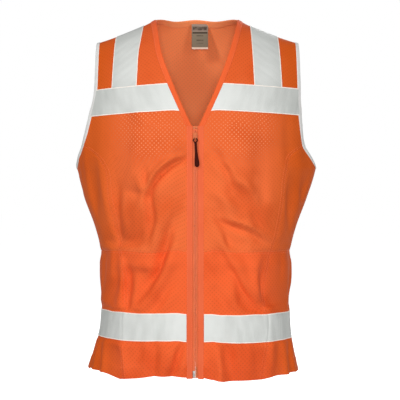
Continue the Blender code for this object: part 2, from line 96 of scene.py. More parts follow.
def put(name: str, data: bpy.types.ID | None) -> bpy.types.Object:
    """A new object in the scene, at the origin."""
    obj = bpy.data.objects.new(name, data)
    bpy.context.scene.collection.objects.link(obj)
    return obj


def plain_mesh(obj: bpy.types.Object) -> bpy.types.Mesh:
    """A new mesh of an object as its modifiers or its curve settings shape it."""
    bpy.context.view_layer.update()
    graph = bpy.context.evaluated_depsgraph_get()
    return bpy.data.meshes.new_from_object(obj.evaluated_get(graph))


class Side(Enum):
    """The wearer's two sides, with the sign of X on each."""

    RIGHT = -1
    LEFT = 1

    @property
    def word(self) -> str:
        """Name used in piece names."""
        return self.name.lower()

    @property
    def front(self) -> str:
        """The body that swings when this front opens."""
        return f"{self.word}_front"


class Ride(Enum):
    """How a piece follows the joints: with one body; the yoke and panel kinds, meant to bend
    between two, are attached to none.
    """

    FIXED = "root"
    SLIDER = "slider"
    PULL = "pull"
    LABEL = "label"
    FRONT = "swings with the front"
    YOKE = "bends from the shoulder down to the front"
    PANEL = "bends from the side seam round to the front"


# ------------------------------------------------------------------ curves and the form
@dataclass(frozen=True)
class Track:
    """A smooth value along the height, through (z, value) stations listed from the top down."""

    stations: tuple[tuple[float, float], ...]

    def __call__(self, z: Array) -> Array:
        """Value at each height.

        Args:
            z: heights in metres.

        Returns:
            An array of the same shape.
        """
        zs, vs = (np.array(column) for column in zip(*self.stations))
        last = len(zs) - 1
        low = np.maximum(np.arange(last + 1) - 1, 0)
        high = np.minimum(np.arange(last + 1) + 1, last)
        slopes = (vs[high] - vs[low]) / (zs[high] - zs[low])
        z = np.clip(z, zs[-1], zs[0])
        i = np.clip(np.searchsorted(-zs, -z, side="right") - 1, 0, last - 1)
        span = zs[i + 1] - zs[i]
        t = (z - zs[i]) / span
        return ((2 * t**3 - 3 * t**2 + 1) * vs[i] + (t**3 - 2 * t**2 + t) * span * slopes[i]
                + (3 * t**2 - 2 * t**3) * vs[i + 1] + (t**3 - t**2) * span * slopes[i + 1])


def mix(a: Any, b: Any, t: Any) -> Any:
    """Straight blend from a to b."""
    return a + (b - a) * t


def ease(t: Array) -> Array:
    """Starts gently, as cloth that leaves the shoulder line has to."""
    return 1 - np.cos(math.pi / 2 * t)


def smooth(low: float, high: float, value: Array) -> Array:
    """Smooth step from 0 at low to 1 at high; low may be the larger."""
    t = np.clip((value - low) / (high - low), 0, 1)
    return t * t * (3 - 2 * t)


@dataclass(frozen=True)
class Form:
    """The wearer's shape under the cloth, by the same formula as the CAD panels."""

    half_width: Track = Track(((0.06, 0.2195), (-0.14, 0.2195), (-0.2735, 0.2290), (-0.330, 0.2100),
                               (-0.3875, 0.1880), (-0.433, 0.1777), (-0.460, 0.1820),
                               (-0.535, 0.1770), (-0.590, 0.1800), (-0.660, 0.2010)))
    back_depth: Track = Track(((0.06, 0.105), (-0.18, 0.112), (-0.433, 0.085), (-0.660, 0.118)))
    princess: Track = Track(((-0.225, 0.2190), (-0.2375, 0.2120), (-0.260, 0.1825),
                             (-0.285, 0.1690), (-0.340, 0.1590), (-0.400, 0.1460),
                             (-0.4345, 0.1380), (-0.550, 0.1310), (-0.660, 0.1290)))
    front_depth: float = 0.130
    power: float = 2.2
    neck_half: float = 0.080
    shoulder_slope: float = 0.50
    neck_rise: float = 0.030
    neck_rise_width: float = 0.045
    nape_drop: float = 0.038
    front_round: float = 0.20
    back_round: float = 0.15
    bust_proud: float = 0.014
    bust_centre: tuple[float, float] = (0.085, -0.270)
    bust_spread: tuple[float, float] = (0.050, 0.080)
    placket_flat: float = 0.030
    armhole_angle: float = math.radians(60.0)
    armhole_turn_z: float = -0.140
    armhole_height: float = 0.1335
    binding: float = 0.009
    binding_angle: float = math.radians(3.5)
    neck_binding: float = 0.012
    v_binding: float = 0.0108
    v_foot_half: float = 0.0060
    v_bow: float = 0.008
    nape_power: float = 1.9

    def shoulder(self, x: Array) -> Array:
        """Height of the form's top at x: the shoulder line, carried on over the neck."""
        out = np.abs(x) - self.neck_half
        bend = np.where(out > 0, 1.0, -self.shoulder_slope / (2 * self.neck_half))
        rise = self.neck_rise * np.exp(-((x / self.neck_rise_width) ** 2))
        return -self.shoulder_slope * out + bend * out * out + rise

    def rounding(self, x: Array, z: Array, height: float) -> Array:
        """0 on the shoulder line, 1 from `height` below it."""
        u = np.clip((self.shoulder(x) - z) / height, 0, 1)
        return np.sqrt(np.maximum(1 - (1 - u) ** 2, 0))

    def bust(self, x: Array, z: Array) -> Array:
        """How far the bust stands proud.

        Args:
            x: distances from the centre.
            z: heights.

        Returns:
            Metres above the form without it.
        """
        across = ((np.abs(x) - self.bust_centre[0]) / self.bust_spread[0]) ** 2
        along = ((z - self.bust_centre[1]) / self.bust_spread[1]) ** 2
        near_zip = 1 - np.exp(-((x / self.placket_flat) ** 2))
        return self.bust_proud * np.exp(-across - along) * near_zip

    def point(self, angle: Array, z: Array) -> Array:
        """Points on the form.

        Args:
            angle: 0 at the centre front, 90 degrees at the left side, 180 at the centre back.
            z: heights.

        Returns:
            Array with a last axis of x, y, z.
        """
        share = 2 / self.power
        across, forward = np.sin(angle), np.cos(angle)
        x = np.sign(across) * self.half_width(z) * np.abs(across) ** share
        reach = np.abs(forward) ** share
        front = -self.front_depth * reach * self.rounding(x, z, self.front_round)
        front = front - self.bust(x, z) * reach
        back = self.back_depth(z) * reach * self.rounding(x, z, self.back_round)
        return np.stack([x, np.where(forward > 0, front, back), z + 0 * x], axis=-1)

    def angle_at(self, x: Array, z: Array, back: bool = False) -> Array:
        """The angle at which the section at height z is x wide.

        Args:
            x: distances from the centre, negative on the right.
            z: heights.
            back: True for the angle on the back.

        Returns:
            Angles with the sign of x.
        """
        ratio = np.minimum(np.abs(x) / self.half_width(z), 1.0)
        angle = np.arcsin(ratio ** (self.power / 2))
        angle = math.pi - angle if back else angle
        return np.copysign(angle, x)

    def v_edge(self, z: Array) -> Array:
        """Half the width of the V opening at height z."""
        t = np.clip(z / V_BOTTOM_Z, 0, 1)
        return mix(self.neck_half, self.v_foot_half, t) + self.v_bow * np.sin(math.pi * t)

    def nape(self, x: Array, half: float, drop: float) -> Array:
        """Height of a line round the back of the neck, from x = -half to x = half."""
        deep = np.maximum(1 - (x / half) ** 2, 0.0) ** self.nape_power
        return self.shoulder(x) - drop * deep

    def armhole_start(self, inset: Any) -> Any:
        """Angle of the armhole's straight edge, `inset` bindings in from its rim."""
        return self.armhole_angle - self.binding_angle * inset

    def armhole(self, turn: Any, inset: Any) -> tuple[Array, Array]:
        """Place on the armhole's curve under the arm.

        Args:
            turn: 0 at the foot of the straight edge, 90 degrees at the side seam.
            inset: bindings in from the rim.

        Returns:
            Angle and height.
        """
        start = self.armhole_start(inset)
        angle = start + (math.pi / 2 - start) * (1 - np.cos(turn))
        height = self.armhole_height + self.binding * inset
        return angle, self.armhole_turn_z - height * np.sin(turn)

    def armhole_turn(self, z: Any, inset: Any) -> Array:
        """The turn at which the armhole's curve is at height z."""
        drop = (self.armhole_turn_z - z) / (self.armhole_height + self.binding * inset)
        return np.arcsin(np.clip(drop, 0.0, 1.0))


FORM = Form()


def hang(x_at: ByHeight, down: Array, bottom: Any,
         top: Callable[[Array], Array] = FORM.shoulder) -> tuple[Array, Array]:
    """Points part of the way down from a top line, where x depends on the height.

    Args:
        x_at: half-width at a height.
        down: share of the way down, 0 on the top line.
        bottom: height at which the share is 1.
        top: height of the top line at x.

    Returns:
        x and z.
    """
    z = bottom * down
    for _ in range(HANG_ROUNDS):
        x = x_at(z)
        z = mix(top(x), bottom, down)
    return x, z


# ------------------------------------------------------------------ folds
class Profile(Enum):
    """Shape across a fold."""

    ROUND = "a soft ridge or valley"
    STEP = "a ridge with a valley beside it"
    CREASE = "a sharp edge"

    def across(self, off: Array) -> Array:
        """Height of the profile.

        Args:
            off: distances from the fold's line, in widths.

        Returns:
            Shares of the fold's height.
        """
        if self is Profile.STEP:
            return off * np.exp(0.5 - off**2) * 1.4
        return np.exp(-off**2) if self is Profile.ROUND else np.exp(-np.abs(off))


@dataclass(frozen=True)
class Fold:
    """One fold along a bowed line on the front or the back, between (x, z) points."""

    start: tuple[float, float]
    end: tuple[float, float]
    height: float
    width: float
    bow: float = 0.0
    profile: Profile = Profile.ROUND
    back: bool = False

    def lift(self, x: Array, z: Array) -> Array:
        """How far the fold lifts the cloth.

        Args:
            x: distances from the centre.
            z: heights.

        Returns:
            Metres outwards.
        """
        (x0, z0), (x1, z1) = self.start, self.end
        length = math.hypot(x1 - x0, z1 - z0)
        dx, dz = (x1 - x0) / length, (z1 - z0) / length
        run = ((x - x0) * dx + (z - z0) * dz) / length
        off = (x - x0) * -dz + (z - z0) * dx
        inside = np.clip(run, 0, 1)
        off = (off - self.bow * 4 * inside * (1 - inside)) / self.width
        overshoot = (run - inside) * length / self.width
        fade = np.exp(-overshoot**2) * (0.25 + 0.75 * np.sin(math.pi * inside) ** 0.8)
        return self.height * fade * self.profile.across(off)


# sideways moves of the worn-in cloth by depth below the neck points, then drops by x
SWAY_LEFT = ((0.170, 0.0), (0.200, -0.0045), (0.226, -0.0100), (0.243, -0.0120),
             (0.262, -0.0060), (0.280, 0.0))
SWAY_RIGHT = ((0.200, 0.0), (0.243, 0.0030), (0.262, 0.0020), (0.290, 0.0050), (0.330, 0.0))
CHEST_DROOP = ((-0.21, -0.0060), (-0.04, 0.0025), (0.0, 0.0), (0.04, 0.0025), (0.21, -0.0032))
HEM_LINE = ((-0.190, 0.0060), (-0.163, 0.0036), (-0.148, -0.0010), (-0.134, -0.0050),
            (-0.105, -0.0018), (-0.075, 0.0030), (-0.046, 0.0018), (-0.017, 0.0008),
            (0.0, 0.0015), (0.016, 0.0), (0.030, -0.0040), (0.060, -0.0070), (0.099, -0.0055),
            (0.128, -0.0050), (0.150, -0.0010), (0.190, 0.0))


def along(stations: Sequence[tuple[float, float]], where: Array) -> Array:
    """Value at each place, on straight lines through (place, value) stations."""
    places, values = zip(*stations)
    return np.interp(where, places, values)


@dataclass
class Drape:
    """The draped cloth: the form, the listed folds and the wrinkles from the simulation."""

    folds: tuple[Fold, ...]
    wrinkles: Array | None = None
    top: float = -0.150
    bottom: float = HEM_Z
    placket_flat: float = 0.016
    side_flat: float = 0.12
    tape_fade: Band = (0.010, 0.001)
    tape_hold: float = 0.65
    sway_out: Band = (0.09, 0.18)
    hem_lean: float = 0.0045
    hem_lean_rows: Band = (-0.570, -0.655)
    hem_lean_out: Band = (0.008, 0.060)
    hem_rows: Band = (-0.596, HEM_Z)
    shoulder_shift: tuple[float, float] = (0.0050, 0.0030)
    shoulder_rows: Band = (-0.190, -0.120)
    shoulder_out: Band = (0.09, 0.19)
    neck_rows: Band = (-0.085, -0.010)
    neck_out: Band = (0.03, 0.07)
    droop_rows: tuple[Band, Band] = ((-0.060, -0.125), (-0.255, -0.190))
    tape_drop: float = 0.0035
    tape_drop_out: Band = (0.012, 0.050)
    tape_drop_rows: tuple[Band, Band] = ((-0.500, -0.545), (-0.660, -0.600))
    wrinkles_high: float = 0.30
    wrinkles_rows: Band = (-0.240, -0.350)
    wrinkles_side_flat: float = 0.30
    wrinkles_side_hold: float = 0.65
    wrinkles_tape_hold: float = 0.5
    wrinkles_hem_hold: float = 0.8
    wrinkles_hem_rows: Band = (-0.600, -0.650)

    def lift(self, base: Array, angle: Array) -> Array:
        """Height of the folds above the form.

        Args:
            base: points on the form.
            angle: their angles.

        Returns:
            Heights, which fade out at the side seams, the zip and the waist tape.
        """
        x, z = base[..., 0], base[..., 2]
        front = np.cos(angle) > 0
        total = np.zeros_like(x)
        for fold in self.folds:
            total += np.where(front != fold.back, fold.lift(x, z), 0.0)
        side = np.exp(-((np.cos(angle) / self.side_flat) ** 2))
        placket = 1 - np.exp(-((x / self.placket_flat) ** 2)) * front
        return total * (1 - side) * placket * (1 - self.tape_hold * self.taped(z))

    def taped(self, z: Array) -> Array:
        """1 under the stiff waist tape, 0 away from it."""
        beyond = np.abs(z - WAIST_TAPE_TOP + TAPE_WIDTH / 2) - TAPE_WIDTH / 2
        return smooth(*self.tape_fade, beyond)

    def settle(self, base: Array, front: Array) -> Array:
        """How the worn-in cloth hangs off its form: uneven hem and tapes, tighter left armhole.

        Args:
            base: points on the form.
            front: True where a point is on the front.

        Returns:
            The move of each point.
        """
        x, z = base[..., 0], base[..., 2]
        wide = np.abs(x)
        sway = along(SWAY_LEFT, -z) * (x > 0) + along(SWAY_RIGHT, -z) * (x < 0)
        lean = self.hem_lean * smooth(*self.hem_lean_rows, z) * smooth(*self.hem_lean_out, wide)
        high, rim = smooth(*self.shoulder_rows, z), smooth(*self.shoulder_out, wide)
        by_neck = smooth(*self.neck_rows, z) * smooth(*self.neck_out, -x)
        right, left = self.shoulder_shift
        shrug = high * np.where(x < 0, right * np.maximum(by_neck, rim), left * rim)
        dx = sway * smooth(*self.sway_out, wide) - lean + shrug
        hem = along(HEM_LINE, x) * smooth(*self.hem_rows, z)
        above, below = self.droop_rows
        chest = along(CHEST_DROOP, x) * smooth(*above, z) * smooth(*below, z)
        above, below = self.tape_drop_rows
        tape = (self.tape_drop * smooth(*self.tape_drop_out, x) * smooth(*above, z)
                * smooth(*below, z))
        return np.stack([dx, 0 * dx, (hem + chest - tape) * front], axis=-1)

    def shift(self, angle: Array, z: Array) -> Array:
        """The simulated wrinkles' movement, read from their grid.

        Args:
            angle: angles.
            z: heights.

        Returns:
            The move of each point.
        """
        rows, columns = self.wrinkles.shape[:2]
        across = np.mod(angle, 2 * math.pi) / (2 * math.pi) * (columns - 1)
        down = np.clip((self.top - z) / (self.top - self.bottom), 0, 1) * (rows - 1)
        i, j = np.minimum(down.astype(int), rows - 2), np.minimum(across.astype(int), columns - 2)
        s, t = (down - i)[..., None], (across - j)[..., None]
        grid = self.wrinkles
        above, below = (mix(grid[k, j], grid[k, j + 1], t) for k in (i, i + 1))
        return mix(above, below, s)

    def point(self, angle: Array, z: Array) -> Array:
        """Points on the draped cloth.

        Args:
            angle: 0 at the centre front, 90 degrees at the left side, 180 at the centre back.
            z: heights on the form.

        Returns:
            Array with a last axis of x, y, z.
        """
        front = np.cos(angle) > 0
        base = FORM.point(angle, z)
        base = base + self.settle(base, front)
        wide, deep = FORM.half_width(z), np.where(front, FORM.front_depth, FORM.back_depth(z))
        out = np.stack([base[..., 0] / wide**2, base[..., 1] / deep**2, 0 * wide], axis=-1)
        out /= np.linalg.norm(out, axis=-1, keepdims=True) + 1e-9
        base = base + out * self.lift(base, angle)[..., None]
        if self.wrinkles is None:
            return base
        side = np.exp(-((np.cos(angle) / self.wrinkles_side_flat) ** 2))
        calm = (mix(self.wrinkles_high, 1.0, smooth(*self.wrinkles_rows, z))
                * (1 - self.wrinkles_side_hold * side)
                * (1 - self.wrinkles_tape_hold * self.taped(z)))
        moved = self.shift(angle, z) * calm[..., None]
        moved[..., 2] *= 1 - self.wrinkles_hem_hold * smooth(*self.wrinkles_hem_rows, z)
        return base + moved

    def at_x(self, x: Array, z: Array, back: bool = False) -> Array:
        """Point of the draped cloth at x, on the front or on the back."""
        return self.point(FORM.angle_at(x, z, back), z)


STEP, CREASE = Profile.STEP, Profile.CREASE
DRAPE = Drape(folds=(
    Fold((-0.018, -0.262), (-0.086, -0.330), -0.0085, 0.008, bow=-0.012, profile=STEP),
    Fold((-0.082, -0.331), (-0.134, -0.319), -0.0040, 0.008),
    Fold((-0.091, -0.278), (-0.091, -0.310), -0.0030, 0.005),
    Fold((-0.177, -0.270), (-0.145, -0.420), 0.0040, 0.0065, bow=-0.003),
    Fold((-0.148, -0.310), (-0.138, -0.425), -0.0065, 0.0095),
    Fold((-0.012, -0.240), (-0.060, -0.262), 0.0045, 0.010, bow=-0.004),
    Fold((-0.016, -0.300), (-0.078, -0.350), 0.0040, 0.014, bow=-0.010),
    Fold((0.046, -0.268), (0.070, -0.322), 0.0030, 0.009, bow=0.006, profile=STEP),
    Fold((0.019, -0.322), (0.094, -0.368), 0.0042, 0.008),
    Fold((0.066, -0.300), (0.110, -0.322), 0.0036, 0.009),
    Fold((0.170, -0.290), (0.152, -0.425), 0.0036, 0.0065),
    Fold((0.018, -0.262), (0.056, -0.306), 0.0040, 0.009),
    Fold((0.030, -0.250), (0.050, -0.268), -0.0030, 0.007),
    Fold((-0.049, -0.398), (-0.084, -0.488), -0.0125, 0.012, bow=0.006),
    Fold((-0.034, -0.395), (-0.046, -0.485), 0.0060, 0.014, bow=-0.004),
    Fold((-0.094, -0.300), (-0.090, -0.425), -0.0055, 0.010, bow=0.005, profile=STEP),
    Fold((-0.120, -0.330), (-0.112, -0.425), -0.0040, 0.010),
    Fold((-0.072, -0.370), (-0.080, -0.428), 0.0045, 0.010),
    Fold((0.040, -0.376), (0.128, -0.412), 0.0060, 0.008, bow=0.006, profile=STEP),
    Fold((0.057, -0.400), (0.064, -0.430), -0.0055, 0.008),
    Fold((0.075, -0.300), (0.120, -0.340), 0.0035, 0.012, bow=0.006),
    Fold((0.098, -0.330), (0.092, -0.420), 0.0040, 0.011),
    Fold((-0.175, -0.426), (-0.020, -0.430), 0.0018, 0.009, bow=-0.002),
    Fold((0.020, -0.430), (0.175, -0.426), 0.0018, 0.009, bow=-0.002),
    Fold((-0.160, -0.456), (-0.030, -0.452), 0.0060, 0.011, bow=-0.003),
    Fold((0.030, -0.452), (0.160, -0.456), 0.0050, 0.011, bow=-0.003),
    Fold((-0.131, -0.455), (-0.130, -0.530), -0.0060, 0.009, profile=STEP),
    Fold((-0.108, -0.462), (-0.112, -0.530), 0.0050, 0.010),
    Fold((0.070, -0.470), (0.060, -0.545), 0.0045, 0.012),
    Fold((0.118, -0.465), (0.122, -0.524), -0.0055, 0.010, profile=STEP),
    Fold((-0.129, -0.530), (-0.128, -0.700), 0.0080, 0.020, profile=CREASE),
    Fold((-0.022, -0.598), (-0.042, -0.655), -0.0055, 0.006),
    Fold((-0.014, -0.602), (-0.022, -0.650), 0.0045, 0.006),
    Fold((0.134, -0.540), (0.137, -0.690), 0.0055, 0.020, profile=CREASE),
    Fold((0.040, -0.600), (0.048, -0.680), 0.0040, 0.012),
    Fold((0.095, -0.605), (0.100, -0.690), 0.0045, 0.014),
    Fold((-0.070, -0.600), (-0.078, -0.690), -0.0040, 0.014),
    Fold((-0.120, -0.160), (-0.060, -0.215), 0.0030, 0.012, bow=-0.006),
    Fold((-0.100, -0.300), (-0.040, -0.420), 0.0060, 0.013, bow=0.012, back=True),
    Fold((0.100, -0.300), (0.040, -0.420), 0.0060, 0.013, bow=-0.012, back=True),
    Fold((-0.015, -0.340), (-0.010, -0.430), -0.0055, 0.012, back=True),
    Fold((-0.130, -0.452), (0.130, -0.452), 0.0060, 0.010, back=True),
    Fold((0.080, -0.470), (0.090, -0.560), 0.0055, 0.013, back=True),
    Fold((-0.070, -0.470), (-0.085, -0.560), 0.0055, 0.013, back=True),
    Fold((0.000, -0.480), (0.005, -0.650), 0.0045, 0.016, back=True),
    Fold((-0.120, -0.200), (-0.030, -0.260), 0.0045, 0.015, bow=-0.010, back=True),
    Fold((0.120, -0.200), (0.030, -0.260), 0.0045, 0.015, bow=0.010, back=True),
))


def blurred(grid: Array, cells: float) -> Array:
    """A grid smoothed by a bell curve.

    Args:
        grid: values; the columns run round and close.
        cells: width of the curve in cells.

    Returns:
        A grid of the same shape.
    """
    reach = int(3 * cells) + 1
    taps = np.arange(-reach, reach + 1)
    weights = np.exp(-0.5 * (taps / cells) ** 2)
    weights /= weights.sum()
    round_about = sum(w * np.roll(grid, k, axis=1) for k, w in zip(taps, weights))
    padded = np.pad(round_about, [(reach, reach)] + [(0, 0)] * (grid.ndim - 1), mode="edge")
    rows = grid.shape[0]
    return sum(w * padded[reach + k:reach + k + rows] for k, w in zip(taps, weights))


@dataclass(frozen=True)
class HangingCloth:
    """Cloth simulation of the body of the vest, hung from the chest and pinned along the zip."""

    columns: int = 180
    rows: int = 78
    frames: int = 24
    slack: float = 0.045
    limit: float = 0.0080
    gain: float = 1.5
    fine_cells: float = 0.8
    broad_cells: float = 9.0
    placket: Band = (math.radians(7.5), math.radians(5.0))
    waist_hold: float = 0.30
    waist_width: float = 0.006
    tape_hold: float = 0.22
    tape_reach: Band = (0.030, 0.022)
    held: Band = (0.15, 1.0)
    least_pin: float = 0.002

    def pins(self, angle: Array, z: Array) -> Array:
        """How firmly each point is held: chest, zip, waist seam and the stiff waist tape.

        Args:
            angle: angles.
            z: heights.

        Returns:
            Weights from 0, free, to 1, held.
        """
        side = np.abs(np.mod(angle + math.pi, 2 * math.pi) - math.pi)
        chest = smooth(DRAPE.top - 0.030, DRAPE.top - 0.005, z)
        waist = self.waist_hold * np.exp(-(((z - WAIST_SEAM_Z) / self.waist_width) ** 2))
        middle = WAIST_TAPE_TOP - TAPE_WIDTH / 2
        tape = self.tape_hold * smooth(*self.tape_reach, np.abs(z - middle))
        return np.maximum.reduce([chest, smooth(*self.placket, side), waist, tape])

    def cloth(self, start: Array, weights: Array) -> bpy.types.Object:
        """A tube of cloth with the simulation on it.

        Args:
            start: grid of its points.
            weights: how firmly each point is held.

        Returns:
            The object.
        """
        number = np.arange(weights.size).reshape(weights.shape)
        ahead = np.roll(number, -1, axis=1)
        faces = np.stack([number[:-1], number[1:], ahead[1:], ahead[:-1]], axis=-1)
        mesh = bpy.data.meshes.new("hanging_cloth")
        mesh.from_pydata(start.reshape(-1, 3).tolist(), [], faces.reshape(-1, 4).tolist())
        obj = put("hanging_cloth", mesh)
        group = obj.vertex_groups.new(name="held")
        for index, weight in enumerate(weights.ravel()):
            if weight > self.least_pin:
                group.add([index], float(weight), "REPLACE")
        modifier = obj.modifiers.new("cloth", "CLOTH")
        modifier.collision_settings.use_collision = False
        cloth = modifier.settings
        cloth.quality, cloth.mass, cloth.air_damping = 6, 0.12, 2.0
        cloth.tension_stiffness, cloth.compression_stiffness = 18.0, 18.0
        cloth.shear_stiffness, cloth.bending_stiffness = 6.0, 0.35
        cloth.vertex_group_mass, cloth.shrink_min = "held", -self.slack
        return obj

    def run(self) -> Array:
        """Simulate.

        Returns:
            The movement of each point of the grid, smoothed and capped, with the first column
            repeated at the end.
        """
        line = np.linspace(0, 2 * math.pi, self.columns, endpoint=False)
        angle, z = np.meshgrid(line, np.linspace(DRAPE.top, DRAPE.bottom, self.rows))
        start, weights = DRAPE.point(angle, z), self.pins(angle, z)
        obj = self.cloth(start, weights)
        scene = bpy.context.scene
        for frame_number in range(1, self.frames + 1):
            scene.frame_set(frame_number)
        graph = bpy.context.evaluated_depsgraph_get()
        settled = np.zeros(start.size)
        obj.evaluated_get(graph).data.vertices.foreach_get("co", settled)
        bpy.data.objects.remove(obj)
        scene.frame_set(1)
        moved = settled.reshape(start.shape) - start
        LOG.info("cloth moved %.1f mm at most", 1000 * float(np.abs(moved).max()))
        fine = blurred(moved, self.fine_cells)
        fine = (fine - blurred(fine, self.broad_cells)) * self.gain
        size = np.linalg.norm(fine, axis=-1, keepdims=True) + 1e-9
        fine *= self.limit * np.tanh(size / self.limit) / size
        fine *= 1 - smooth(*self.held, weights)[..., None]
        return np.concatenate([fine, fine[:, :1]], axis=1)


# ------------------------------------------------------------------ shader expressions
@dataclass(frozen=True)
class Wire:
    """A value or colour in a node tree, on which Python's operators add Math nodes."""

    shop: "NodeShop"
    value: Any

    def _join(self, operation: str, other: Any, swap: bool = False) -> "Wire":
        """Add a Math node on this wire and another value.

        Args:
            operation: what the node does.
            other: a Wire or a number.
            swap: True if the other value comes first.

        Returns:
            The node's result.
        """
        pair = (other, self) if swap else (self, other)
        return self.shop.node("ShaderNodeMath", {"operation": operation}, dict(enumerate(pair)))

    def __add__(self, other: Any) -> "Wire":
        """Sum."""
        return self._join("ADD", other)

    def __radd__(self, other: Any) -> "Wire":
        """Sum, with the wire on the right."""
        return self._join("ADD", other, True)

    def __sub__(self, other: Any) -> "Wire":
        """Difference."""
        return self._join("SUBTRACT", other)

    def __rsub__(self, other: Any) -> "Wire":
        """Difference, with the wire on the right."""
        return self._join("SUBTRACT", other, True)

    def __mul__(self, other: Any) -> "Wire":
        """Product."""
        return self._join("MULTIPLY", other)

    def __rmul__(self, other: Any) -> "Wire":
        """Product, with the wire on the right."""
        return self._join("MULTIPLY", other, True)

    def __truediv__(self, other: Any) -> "Wire":
        """Quotient."""
        return self._join("DIVIDE", other)

    def cos(self) -> "Wire":
        """Cosine."""
        return self.shop.node("ShaderNodeMath", {"operation": "COSINE"}, {0: self})

    def size(self) -> "Wire":
        """Absolute value."""
        return self.shop.node("ShaderNodeMath", {"operation": "ABSOLUTE"}, {0: self})

    def step(self, low: float, high: float) -> "Wire":
        """Smooth step from 0 at low to 1 at high."""
        settings = {"interpolation_type": "SMOOTHSTEP", "clamp": True}
        return self.shop.node("ShaderNodeMapRange", settings,
                              {"Value": self, "From Min": low, "From Max": high})


class NodeShop:
    """Makes the nodes of one material."""

    def __init__(self, name: str) -> None:
        """Start an empty node material called name."""
        self.material = bpy.data.materials.new(name)
        self.material.use_nodes = True
        self.tree = self.material.node_tree
        self.tree.nodes.clear()

    def node(self, kind: str, settings: dict[str, Any], inputs: dict[Any, Any],
             output: Any = 0) -> Wire:
        """Add one node.

        Args:
            kind: the node's type name.
            settings: attributes, set before the sockets.
            inputs: socket name or number to a value or a Wire.
            output: which output to return.

        Returns:
            The chosen output as a Wire, which is empty for a node without outputs.
        """
        made = self.tree.nodes.new(kind)
        for key, value in settings.items():
            setattr(made, key, value)
        for key, value in inputs.items():
            if isinstance(value, Wire):
                self.tree.links.new(value.value, made.inputs[key])
            else:
                made.inputs[key].default_value = value
        return Wire(self, made.outputs[output] if made.outputs else None)

    def blend(self, factor: Any, a: Any, b: Any) -> Wire:
        """Colour a mixed towards colour b by factor."""
        return self.node("ShaderNodeMix", {"data_type": "RGBA"}, {0: factor, 6: a, 7: b}, 2)

    def noise(self, where: Wire, scale: float, detail: float = 2.0) -> Wire:
        """Noise between 0 and 1 over the given coordinates."""
        return self.node("ShaderNodeTexNoise", {}, {"Vector": where, "Scale": scale,
                                                    "Detail": detail})

    def place(self) -> Wire:
        """Object coordinates."""
        return self.node("ShaderNodeTexCoord", {}, {}, "Object")

    def parts(self, vector: Wire) -> tuple[Wire, ...]:
        """The three parts of a vector."""
        first = self.node("ShaderNodeSeparateXYZ", {}, {0: vector})
        return tuple(Wire(self, socket) for socket in first.value.node.outputs)

    def cloth_plane(self) -> tuple[Wire, Wire, Wire]:
        """The cloth's own coordinates in metres: the pair, its across and its down."""
        pair = self.node("ShaderNodeUVMap", {"uv_map": "cloth"}, {})
        across, down, _ = self.parts(pair)
        return pair, across, down

    def bump(self, height: Wire, distance: float, strength: float = 1.0) -> Wire:
        """A normal bent by a height."""
        return self.node("ShaderNodeBump", {}, {"Height": height, "Distance": distance,
                                                "Strength": strength})

    def surface(self, links: dict[str, Any], constants: dict[str, Any]) -> bpy.types.Material:
        """Finish the material with a Principled shader.

        Args:
            links: sockets that vary over the surface.
            constants: sockets that are the same all over.

        Returns:
            The material.
        """
        shader = self.node("ShaderNodeBsdfPrincipled", {}, {**constants, **links})
        self.node("ShaderNodeOutputMaterial", {}, {0: shader})
        return self.material


def rgb(r: float, g: float, b: float) -> Colour:
    """Opaque linear colour."""
    return (r, g, b, 1.0)


# ------------------------------------------------------------------ finishes
@dataclass(frozen=True)
class MeshKnit:
    """Open polyester knit: diamond holes in staggered rows between fine yarns.

    The cloth is paler in its holes where the bust stretches it, and deeper towards the shoulders;
    towards the sides it takes painted shade, darkening as if the light fell off there.
    """

    name: str
    yarn: Colour
    shade: Colour
    hole: Colour
    # painted shade: the colour that the sides darken to, as if the light fell off there
    side: Colour = rgb(0.610, 0.090, 0.002)
    stretched_hole: Colour = rgb(1.000, 0.400, 0.190)
    pitch: float = 0.0078
    clear: float = 0.10
    least_hole: float = 0.06
    hole_share: float = 0.36
    yarn_share: float = 0.35
    patch_share: float = 0.60
    high_share: float = 0.55
    high_rows: Band = (-0.165, -0.110)
    # strength and reach of the painted shade at the sides
    side_share: float = 0.75
    side_band: Band = (0.115, 0.190)
    stretched_share: float = 0.0
    stretched_shade: float = 0.35
    stretched_dots: float = 0.27
    bust: tuple[float, float] = (0.084, -0.205)
    bust_spread: tuple[float, float] = (0.085, 0.075)

    def make(self) -> bpy.types.Material:
        """Build the material."""
        shop = NodeShop(self.name)
        pair, across, down = shop.cloth_plane()
        turn = 2 * math.pi / self.pitch
        lattice = (across * turn).cos() * (down * turn).cos()
        hole = lattice.step(0.30, 0.90)
        yarns = shop.noise(pair, 900.0, 3.0)
        place = shop.place()
        patches = shop.noise(place, 13.0, 3.0)
        x, _, z = shop.parts(place)
        from_middle = x.size()
        out = (from_middle - self.bust[0]) / self.bust_spread[0]
        up = (z - self.bust[1]) / self.bust_spread[1]
        stretched = (1 - (out * out + up * up)).step(-0.3, 0.8) * self.stretched_share
        colour = shop.blend(yarns.step(0.35, 0.80) * self.yarn_share, self.yarn, self.shade)
        colour = shop.blend(patches.step(0.44, 0.66) * self.patch_share, colour, self.shade)
        colour = shop.blend(z.step(*self.high_rows) * self.high_share, colour, self.shade)
        colour = shop.blend(stretched * self.stretched_shade, colour, self.shade)
        open_colour = shop.blend(stretched, self.hole, self.stretched_hole)
        dots = patches.step(0.30, 0.70) * self.hole_share + self.least_hole
        colour = shop.blend(hole * (stretched * self.stretched_dots + dots), colour, open_colour)
        # painted shade: the sides darken towards the side colour, as if the light fell off there
        colour = shop.blend(from_middle.step(*self.side_band) * self.side_share, colour, self.side)
        height = (1 - hole) * 0.8 + yarns * 0.2
        return shop.surface(
            {"Base Color": colour, "Alpha": 1 - hole * self.clear,
             "Roughness": yarns * 0.2 + 0.62, "Normal": shop.bump(height, 0.0004, 0.4)},
            {"Sheen Weight": 0.03, "Sheen Roughness": 0.45, "Specular IOR Level": 0.12,
             "Sheen Tint": rgb(1.0, 0.55, 0.30)})


